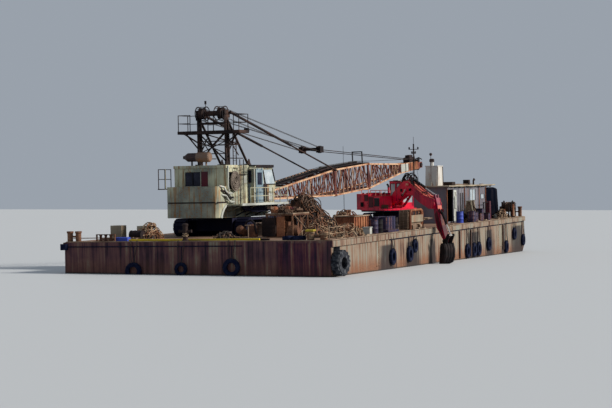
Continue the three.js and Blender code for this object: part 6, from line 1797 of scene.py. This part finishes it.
def make_digger_house():
    doors = Shape(digger)
    side = 1.4
    for sign in (-1, 1):
        spans = [(-2.22, -1.72, 2.34), (-1.66, -1.12, 2.34)]
        if sign < 0:
            spans += [(-1.04, -0.36, 2.18), (-0.3, 0.58, 2.18)]
        for n, (x0, x1, top) in enumerate(spans):
            y = sorted((sign * side, sign * (side + 0.022)))
            doors.paint((0, 1, 1, 0)[n]).box((x0, y[0], 1.88 if n < 2 else 1.42), (x1, y[1], top), 0.012)
            doors.paint(0)
            if n < 2:
                doors.box((x0, y[0], 1.42), (x1, y[1], 1.83), 0.012)
            doors.paint(3)
            for z in (1.55, top - 0.14):
                doors.box((x0 + 0.03, y[0] - 0.012, z), (x0 + 0.07, y[1] + 0.012, z + 0.09), 0.006)
            doors.box((x1 - 0.13, y[0] - 0.014, 1.7), (x1 - 0.05, y[1] + 0.014, 1.76), 0.008)
    doors.paint(2)
    y = -side - 0.024
    doors.boxes(((-0.22, y, 1.5), (0.52, y + 0.01, 2.12), 0.004),
        ((-2.2, y, 1.46), (-1.74, y + 0.01, 1.8), 0.004))
    doors.paint(3)
    for k in range(8):
        z = 1.53 + k * 0.072
        doors.prism(0, [(y, z), (y - 0.03, z - 0.02), (y - 0.03, z - 0.008), (y, z + 0.03)], -0.2, 0.5)
    for k in range(6):
        x = -2.18 + k * 0.078
        doors.bar((x, y - 0.008, 1.46), (x, y - 0.008, 1.8), 0.018)
    for k in range(5):
        z = 1.49 + k * 0.072
        doors.bar((-2.2, y - 0.012, z), (-1.74, y - 0.012, z), 0.016)
    doors.build("digger_doors", "digger_upper", "red", ["red_paint", "red_panel", "glass", "black_steel"])

    rails = Shape(digger)
    # The rails take finish 0, the pale pink: a painted highlight of sun glare along them.
    for y in (-1.3, -0.5):
        rails.tube([(-0.95, y, 2.25), (-0.95, y, 2.62), (-0.9, y, 2.67), (0.5, y, 2.67), (0.58, y, 2.6),
            (0.58, y, 2.25)], 0.025, 8)
        rails.tube([(-0.2, y, 2.25), (-0.2, y, 2.66)], 0.02, 8)
    for y in (-1.32, 1.32):
        rails.tube([(-2.2, y, 2.4), (-2.2, y, 2.68), (-2.15, y, 2.72), (-1.25, y, 2.72), (-1.2, y, 2.68),
            (-1.2, y, 2.4)], 0.022, 8)
    rails.paint(1).box((-0.98, -1.38, 2.245), (0.62, -0.46, 2.275), 0.008)
    rails.paint(2)
    for k in range(5):
        x = -2.05 + k * 0.16
        rails.box((x, -0.95, 2.47), (x + 0.08, -0.25, 2.5), 0.008)
    rails.box((-2.1, 0.15, 2.39), (-1.25, 1.1, 2.45), 0.02)
    rails.tube([(-1.7, 0.7, 2.85), (-1.7, 0.7, 2.96), (-1.76, 0.7, 3.04), (-1.86, 0.7, 3.08)], 0.075, 10)
    for y in (-0.9, 0.9):
        rails.turned([(0, 0), (0.09, 0), (0.09, 0.05), (0.05, 0.08), (0, 0.08)], (-2.7, y, 2.42), UP, 10)
    rails.box((-3.02, -0.5, 1.5), (-2.98, 0.5, 1.56), 0.01)
    for k in range(3):
        z = 1.5 + k * 0.3
        arc = []
        for n in range(9):
            t = 1 - n / 4
            arc.append((-3.085 + 0.26 * t * t, 1.36 * t, z))
        if k != 1:
            rails.sweep(arc, oblong(0.012, 0.012))
    rails.box((0.62, -1.38, 1.345), (1.08, -0.5, 1.375), 0.006)
    rails.paint(1).box((0.66, -1.36, 1.35), (1.04, -0.95, 1.62), 0.03)
    rails.build("digger_rails", "digger_upper", "red", ["glare_pink_paint", "deck_steel", "black_steel"])


@operator
class DREDGER_OT_digger_cab(Operator):
    """Glaze the excavator's cab and fit its seat, visor and lamps"""
    bl_idname = "dredger.digger_cab"
    bl_label = "Excavator Cab"

    def execute(self, context):
        make_digger_cab()
        return {"FINISHED"}


def make_digger_cab():
    c0, c1 = 0.4, 1.385
    panes = Shape(digger)
    pane = [(-0.06, 2.24), (0.65, 2.24), (0.49, 3.16), (-0.06, 3.16)]
    # Pale panes: a painted reflection of the sky.
    panes.prism(1, pane, c1 - 0.03, c1 - 0.02)
    panes.prism(1, pane, c0 + 0.02, c0 + 0.03)
    panes.boxes(((-0.91, c0 + 0.02, 2.24), (-0.24, c0 + 0.03, 3.16), 0.003),
        ((-1.02, c0 + 0.12, 2.49), (-1.01, c1 - 0.12, 3.11), 0.003))
    panes.prism(1, [(0.715, 1.74), (0.725, 1.74), (0.725, 2.3), (0.58, 3.19), (0.57, 3.19), (0.715, 2.3)],
        c0 + 0.08, c1 - 0.08)
    panes.build("digger_cab_panes", "digger_upper", "white", ["sky_reflection_glass"])
    pane = Shape(digger)
    pane.box((-0.83, c1 - 0.025, 2.24), (-0.25, c1 - 0.015, 3.06), 0.003)
    pane.paint(1)
    frame_around(pane, 1, c1, (-0.81, 2.26), (-0.27, 3.04), 0.04, 0.012)
    pane.tube([(-0.28, c1 + 0.01, 2.05), (-0.28, c1 + 0.05, 2.08), (-0.28, c1 + 0.05, 2.2),
        (-0.28, c1 + 0.01, 2.22)], 0.014, 6)
    pane.box((-0.8, c1, 1.5), (-0.28, c1 + 0.012, 2), 0.006)
    pane.build("digger_door_fittings", "digger_leaf", "white", ["glass", "black_steel"])

    inside = Shape(digger)
    inside.boxes(((-0.75, 0.6, 1.4), (-0.15, 1.15, 1.85), 0.06),
        ((-0.82, 0.6, 1.8), (-0.66, 1.15, 2.7), 0.06), ((-0.8, 0.72, 2.68), (-0.68, 1.03, 2.95), 0.05))
    for y in (0.52, 1.22):
        inside.box((-0.5, y - 0.06, 1.4), (0.05, y + 0.06, 2.1), 0.03)
        inside.tube([(-0.02, y, 2.05), (0.05, y, 2.32)], 0.022, 8)
    inside.box((0.4, 0.5, 1.4), (0.6, 0.75, 1.9), 0.03)
    inside.build("digger_seat", "digger_upper", "dark", ["black_steel"])

    trim = Shape(digger)
    for y, proud in ((c0, -0.015), (c1, 0.015)):
        frame_around(trim, 1, y, (-0.02, 2.28), (0.44, 3.12), 0.04, proud)
    frame_around(trim, 1, c0, (-0.88, 2.28), (-0.27, 3.12), 0.03, -0.015)
    frame_around(trim, 0, -1.04, (c0 + 0.15, 2.52), (c1 - 0.15, 3.08), 0.04, -0.015)
    trim.box((-1.07, c0 - 0.02, 3.3), (0.62, c1 + 0.02, 3.345), 0.02)
    trim.tube([(0.742, 0.9, 1.8), (0.745, 0.75, 2.25)], 0.012, 6)
    for y in (c0 + 0.02, c1 - 0.02):
        trim.tube([(0.7, y, 1.5), (0.79, y, 1.55), (0.79, y, 2.2), (0.7, y, 2.25)], 0.016, 6)
    trim.paint(1).prism(1, [(0.5, 3.29), (0.86, 3.2), (0.86, 3.225), (0.5, 3.33)], c0 - 0.01, c1 + 0.01)
    trim.box((-0.8, 0.55, 3.34), (-0.1, 1.2, 3.4), 0.03)
    # Lamp lenses in the pale glass: a painted reflection of the sky.
    trim.paint(2)
    for y in (c0 + 0.15, c1 - 0.15):
        trim.box((0.42, y - 0.08, 3.35), (0.52, y + 0.08, 3.48), 0.02)
    trim.build("digger_cab_trim", "digger_upper", "white", ["black_steel", "white_paint", "sky_reflection_glass"])


def ring(shape, start, end, inner, outer):
    """Collar from start to end round a cylinder."""
    ahead = Vector(end) - Vector(start)
    shape.turned([(inner, 0), (outer, 0), (outer, ahead.length), (inner, ahead.length), (inner, 0)], start,
        ahead, 14)


@operator
class DREDGER_OT_digger_arm(Operator):
    """Run pipes over the excavator's arm and fit its bosses, plates and hoses"""
    bl_idname = "dredger.digger_arm"
    bl_label = "Excavator Arm"

    def execute(self, context):
        make_digger_arm()
        return {"FINISHED"}


def make_digger_arm():
    low, high = ARM_SIDE - ARM_HALF, ARM_SIDE + ARM_HALF
    arm = Shape(digger)
    for n, y in enumerate((-0.26, -0.19, 0.11, 0.18)):
        path = [(x, y, z + 0.055) for x, z in ARM_TOP[(0 if n % 2 else 1):6]]
        if n in (0, 3):
            path = [(x, y, z) for x, _, z in path if x < 2.2] + [(2.35, y, 3.42), (2.5, y, 3.62)]
        arm.tube(path, 0.026, 8)
    for x, z, lean in ((0.6, 2.42, 0.72), (1.5, 2.99, 0.55), (3.4, 2.985, -0.5), (4.5, 2.47, -0.45)):
        ahead = Vector((1, 0, lean)).normalized() * 0.05
        for a, b in ((-0.24, -0.13), (0.13, 0.24)):
            arm.sweep([(x - ahead.x, ARM_SIDE, z - ahead.z + 0.05),
                (x + ahead.x, ARM_SIDE, z + ahead.z + 0.05)], [(a, -0.03), (b, -0.03), (b, 0.045),
                (a, 0.045)])
    arm.paint(1)
    for y, rise in ((-0.3, 0), (-0.22, 0.12), (-0.14, 0.04), (0.1, 0.14), (0.2, 0.02)):
        arm.tube([(1.9, y, 3.25), (2.02, y * 1.1, 3.5 + rise), (2.35, y * 1.25, 3.72 + rise),
            (2.75, y * 1.3, 3.74 + rise), (3.1, y * 1.2, 3.52 + rise * 0.6), (3.25, y, 3.1)], 0.042, 8)
    arm.tube([(2.45, -0.3, 3.3), (2.4, -0.42, 3.6), (2.8, -0.45, 3.75), (3.3, -0.42, 3.35),
        (3.6, -0.36, 2.95)], 0.035, 8)
    arm.tube([(4.6, -0.34, 2.35), (4.9, -0.42, 2.55), (5.3, -0.4, 2.42), (5.5, -0.34, 2.15)], 0.03, 8)
    arm.boxes(((1.7, low - 0.05, 2.55), (1.95, low - 0.005, 2.75), 0.02),
        ((2.9, low - 0.07, 2.6), (3.15, low - 0.005, 2.78), 0.03))
    arm.paint(2)
    for y, out in ((low, -1), (high, 1)):
        for x, z, radius in ((0.15, 1.75, 0.24), (2.5, 2.65, 0.17), (6.01, 1.62, 0.24)):
            arm.turned([(0, 0), (radius, 0), (radius, 0.03), (radius * 0.8, 0.05), (radius * 0.45, 0.05),
                (radius * 0.4, 0.02), (0, 0.02)], (x, y - out * 0.005, z), (0, out, 0), 16)
        for a, b in (((0.6, 2), (2.3, 2.9)), ((2.9, 2.95), (4.9, 1.95))):
            run = Vector((b[0] - a[0], b[1] - a[1])).normalized() * 0.018
            arm.prism(1, [(a[0] + run.y, a[1] - run.x), (b[0] + run.y, b[1] - run.x),
                (b[0] - run.y, b[1] + run.x), (a[0] - run.y, a[1] + run.x)], y, y + out * 0.014)
    # Top plates in the pale pink: a painted highlight of sun glare on the arm's top.
    arm.paint(3)
    slot = STICK_HALF + 0.012
    for a, b in zip(ARM_TOP[2:], ARM_TOP[3:]):
        sides = ((low - 0.025, high + 0.025),) if b[0] < 5 else ((low - 0.025, ARM_SIDE - slot),
            (ARM_SIDE + slot, high + 0.025))
        for y0, y1 in sides:
            arm.prism(1, [(a[0], a[1] - 0.005), (b[0], b[1] - 0.005), (b[0], b[1] + 0.014),
                (a[0], a[1] + 0.014)], y0, y1)
    arm.box((2.62, low - 0.16, 2.98), (2.9, low - 0.02, 3.16), 0.03)
    arm.build("digger_arm_gear", "digger_arm", "red", ["red_panel", "black_steel", "red_paint", "glare_pink_paint"])

    barrels = Shape(digger)
    for y in (ARM_SIDE - 0.375, ARM_SIDE + 0.375):
        a, b = (1, y, 1.48), (2.5, y, 2.65)
        for share in (0.12, 0.45, 0.69):
            ring(barrels, between(a, b, share), between(a, b, share + 0.03), 0.078, 0.098)
        barrels.tube([between((1, y + 0.11, 1.48), (2.5, y + 0.11, 2.65), share)
            for share in (0.14, 0.4, 0.68)], 0.02, 6)
    barrels.build("arm_barrel_bands", "arm_barrels", "dark", ["oily_steel"])


@operator
class DREDGER_OT_digger_stick(Operator):
    """Fit pipes, plates and bosses to the excavator's stick and its cylinders"""
    bl_idname = "dredger.digger_stick"
    bl_label = "Excavator Stick"

    def execute(self, context):
        make_digger_stick()
        return {"FINISHED"}


def make_digger_stick():
    low, high = ARM_SIDE - STICK_HALF, ARM_SIDE + STICK_HALF
    stick = Shape(digger)
    for y in (-0.1, 0.02):
        stick.tube([(6.42, y, 1.42), (6.48, y, 1.2), (6.76, y, 0.55), (7.05, y, -0.2), (7.2, y, -0.55)],
            0.022, 8)
    stick.paint(1)
    for y, out in ((low, -1), (high, 1)):
        for x, z, radius in ((*BUCKET_PIN, 0.16), (6.6, 1.2, 0.15)):
            stick.turned([(0, 0), (radius, 0), (radius, 0.02), (radius * 0.75, 0.035), (radius * 0.5, 0.035),
                (radius * 0.45, 0.012), (0, 0.012)], (x, y - out * 0.006, z), (0, out, 0), 16)
        stick.prism(1, [(6, 0.95), (6.32, 1.2), (6.9, -0.2), (7.18, -0.75), (7.08, -0.72), (6.35, 0.1)], y,
            y + out * 0.012)
    # The upper plate takes the pale pink, a painted highlight of sun glare; the lower one is dark red.
    for finish, a, b in ((2, (6.4, 1.56), (6.52, 1.14)), (1, (6.62, 0.88), (7.3, -0.62))):
        stick.paint(finish).prism(1, [(a[0] - 0.02, a[1]), (b[0] - 0.02, b[1]), (b[0] + 0.02, b[1] + 0.01),
            (a[0] + 0.02, a[1] + 0.01)], low - 0.02, high + 0.02)
    stick.build("digger_stick_gear", "digger_dipper", "red", ["oily_steel", "red_panel", "glare_pink_paint"])

    for name, body, a, b, radius in (("stick_cylinder_bands", "dipper_barrel", (2.7, ARM_SIDE, 3.52),
            (5.97, ARM_SIDE, 2.29), 0.095),
            ("bucket_cylinder_bands", "scoop_barrel", (6.6, ARM_SIDE, 1.2), (7.82, ARM_SIDE, -0.49), 0.088)):
        bands = Shape(digger)
        length = dist(a, b)
        ends = {"dipper_barrel": (0.25, 1.1, 1.99), "scoop_barrel": (0.2, 0.65, 1.1)}[body]
        for along in ends:
            ring(bands, between(a, b, along / length), between(a, b, (along + 0.06) / length), radius - 0.019,
                radius)
        lift = Vector((b[2] - a[2], 0, a[0] - b[0])).normalized() * -(radius + 0.02)
        bands.tube([tuple(Vector(between(a, b, along / length)) + lift) for along in ends], 0.018, 6)
        bands.build(name, body, "dark", ["oily_steel"])


@operator
class DREDGER_OT_digger_bucket(Operator):
    """Weld wear strips, cutters and tooth caps to the bucket"""
    bl_idname = "dredger.digger_bucket"
    bl_label = "Excavator Bucket"

    def execute(self, context):
        make_digger_bucket()
        return {"FINISHED"}


def make_digger_bucket():
    px, pz = BUCKET_PIN
    half = 0.42
    low, high = ARM_SIDE - half, ARM_SIDE + half
    wear = Shape(digger)
    back = [(px + x, pz + z) for x, z in ((0.33, -0.1), (0.5, -0.56), (0.47, -1.08), (0.24, -1.46),
        (-0.2, -1.57))]
    for n in range(4):
        y = low + 0.1 + n * (2 * half - 0.2) / 3
        wear.sweep([(x, y, z) for x, z in back], oblong(0.035, 0.02))
    for y, out in ((low, -1), (high, 1)):
        for plate in (((-0.26, -1.56), (-0.05, -1.52), (0.02, -0.3), (-0.1, -0.25)),
                ((0.2, -1.4), (0.43, -1.1), (0.44, -0.9), (0.1, -1.3))):
            wear.prism(1, [(px + x, pz + z) for x, z in plate], y, y + out * 0.025)
        for x, z in ((px - 0.08, pz - 0.5), (px - 0.11, pz - 0.9), (px - 0.15, pz - 1.3)):
            wear.disc(0.03, 0, 0.05, (x, y, z), (0, out, 0), 6)
    wear.paint(1)
    for i in range(5):
        y = low + 0.09 + i * (2 * half - 0.18) / 4
        wear.prism(1, [(px - 0.14, pz - 1.46), (px - 0.14, pz - 1.585), (px - 0.43, pz - 1.61),
            (px - 0.44, pz - 1.59)], y - 0.055, y + 0.055)
    for y in (ARM_SIDE - 0.24, ARM_SIDE + 0.24):
        for x, z in ((px, pz), (px + 0.62, pz + 0.43)):
            out = 1 if y > ARM_SIDE else -1
            wear.turned([(0, -0.03), (0.11, -0.03), (0.11, 0.02), (0.06, 0.04), (0, 0.04)],
                (x, y - out * 0.02, z), (0, out, 0), 14)
    wear.build("bucket_wear", "digger_scoop", "black", ["black_steel", "oily_steel"])


@operator
class DREDGER_OT_stage(Operator):
    """Set the floor at the waterline, the lights and the camera"""
    bl_idname = "dredger.stage"
    bl_label = "Stage"

    def execute(self, context):
        make_stage(context)
        return {"FINISHED"}


def make_stage(context):
    settings = context.scene.dredger_stage
    normal = Vector((-TRIM, -HEEL, 1)).normalized()
    water = vessel(0, 0, DRAUGHT - DECK)

    tilt = Vector(UP).rotation_difference(normal)
    corners = [water + tilt @ Vector((x, y, 0)) for x, y in oblong(FLOOR_HALF, FLOOR_HALF)]
    mesh = bpy.data.meshes.new("floor")
    mesh.from_pydata([tuple(c) for c in corners], [], [(0, 1, 2, 3)])
    floor = bpy.data.objects.new("floor", mesh)
    material = bpy.data.materials.new("floor")
    material.use_nodes = True
    shader = material.node_tree.nodes["Principled BSDF"]
    shader.inputs["Base Color"].default_value = (*settings.floor_colour, 1)
    shader.inputs["Roughness"].default_value = 0.6
    mesh.materials.append(material)
    context.scene.collection.objects.link(floor)

    along, across = CAMERA_AHEAD
    ahead = Vector((along, across, TRIM * along + HEEL * across)).normalized()
    right = ahead.cross(normal).normalized()
    up = right.cross(ahead)
    u, v = CAMERA_AT
    spot = vessel(u, v, DRAUGHT + TRIM * u + HEEL * v + CAMERA_HEIGHT - DECK)
    camera_data = bpy.data.cameras.new("camera")
    camera_data.lens = settings.lens
    camera_data.sensor_width = 36
    camera_data.shift_y = -2 / FRAME_WIDTH
    camera_data.clip_end = 1000
    camera = bpy.data.objects.new("camera", camera_data)
    axes = Matrix((right, up, -ahead)).transposed()
    camera.matrix_world = Matrix.Translation(spot) @ axes.to_4x4()
    context.scene.collection.objects.link(camera)
    context.scene.camera = camera

    for name, kind, direction, energy, angle, colour in (
            ("key", "SUN", (0.22, -0.86, 0.47), 5.4, 9, (1, 0.94, 0.85)),
            ("fill", "SUN", (-0.85, 0.25, 0.45), 0.2, 60, (0.72, 0.84, 1))):
        data = bpy.data.lights.new(name, kind)
        data.energy = energy
        data.angle = angle * DEG
        data.color = colour
        light = bpy.data.objects.new(name, data)
        light.rotation_euler = Vector(direction).to_track_quat("Z", "Y").to_euler()
        context.scene.collection.objects.link(light)
    world = bpy.data.worlds.new("world")
    world.use_nodes = True
    back = world.node_tree.nodes["Background"]
    back.inputs[0].default_value = (0.76, 0.85, 0.97, 1)
    back.inputs[1].default_value = 0.42
    context.scene.world = world
    context.scene.view_settings.view_transform = "Standard"


class DREDGER_PT_panel(Panel):
    """Lists the makers and their settings"""
    bl_idname = "DREDGER_PT_panel"
    bl_label = "Dredging Pontoon"
    bl_space_type = "VIEW_3D"
    bl_region_type = "UI"
    bl_category = "Dredger"

    def draw(self, context):
        for group in SETTINGS:
            box = self.layout.box()
            settings = getattr(context.scene, group)
            for name in settings.bl_rna.properties.keys():
                if name not in ("rna_type", "name"):
                    box.prop(settings, name)
        for cls in OPERATORS:
            self.layout.operator(cls.bl_idname)


SETTINGS = {
    "dredger_hull": HullSettings,
    "dredger_rigging": RiggingSettings,
    "dredger_stage": StageSettings,
}


def register():
    for cls in (*SETTINGS.values(), *OPERATORS, DREDGER_PT_panel):
        bpy.utils.register_class(cls)
    for name, cls in SETTINGS.items():
        setattr(bpy.types.Scene, name, PointerProperty(type=cls))


def unregister():
    for name in SETTINGS:
        delattr(bpy.types.Scene, name)
    for cls in (DREDGER_PT_panel, *reversed(OPERATORS), *reversed(SETTINGS.values())):
        bpy.utils.unregister_class(cls)


def main():
    register()
    for cls in OPERATORS:
        group, name = cls.bl_idname.split(".")
        getattr(getattr(bpy.ops, group), name)()


if __name__ == "__main__":
    main()
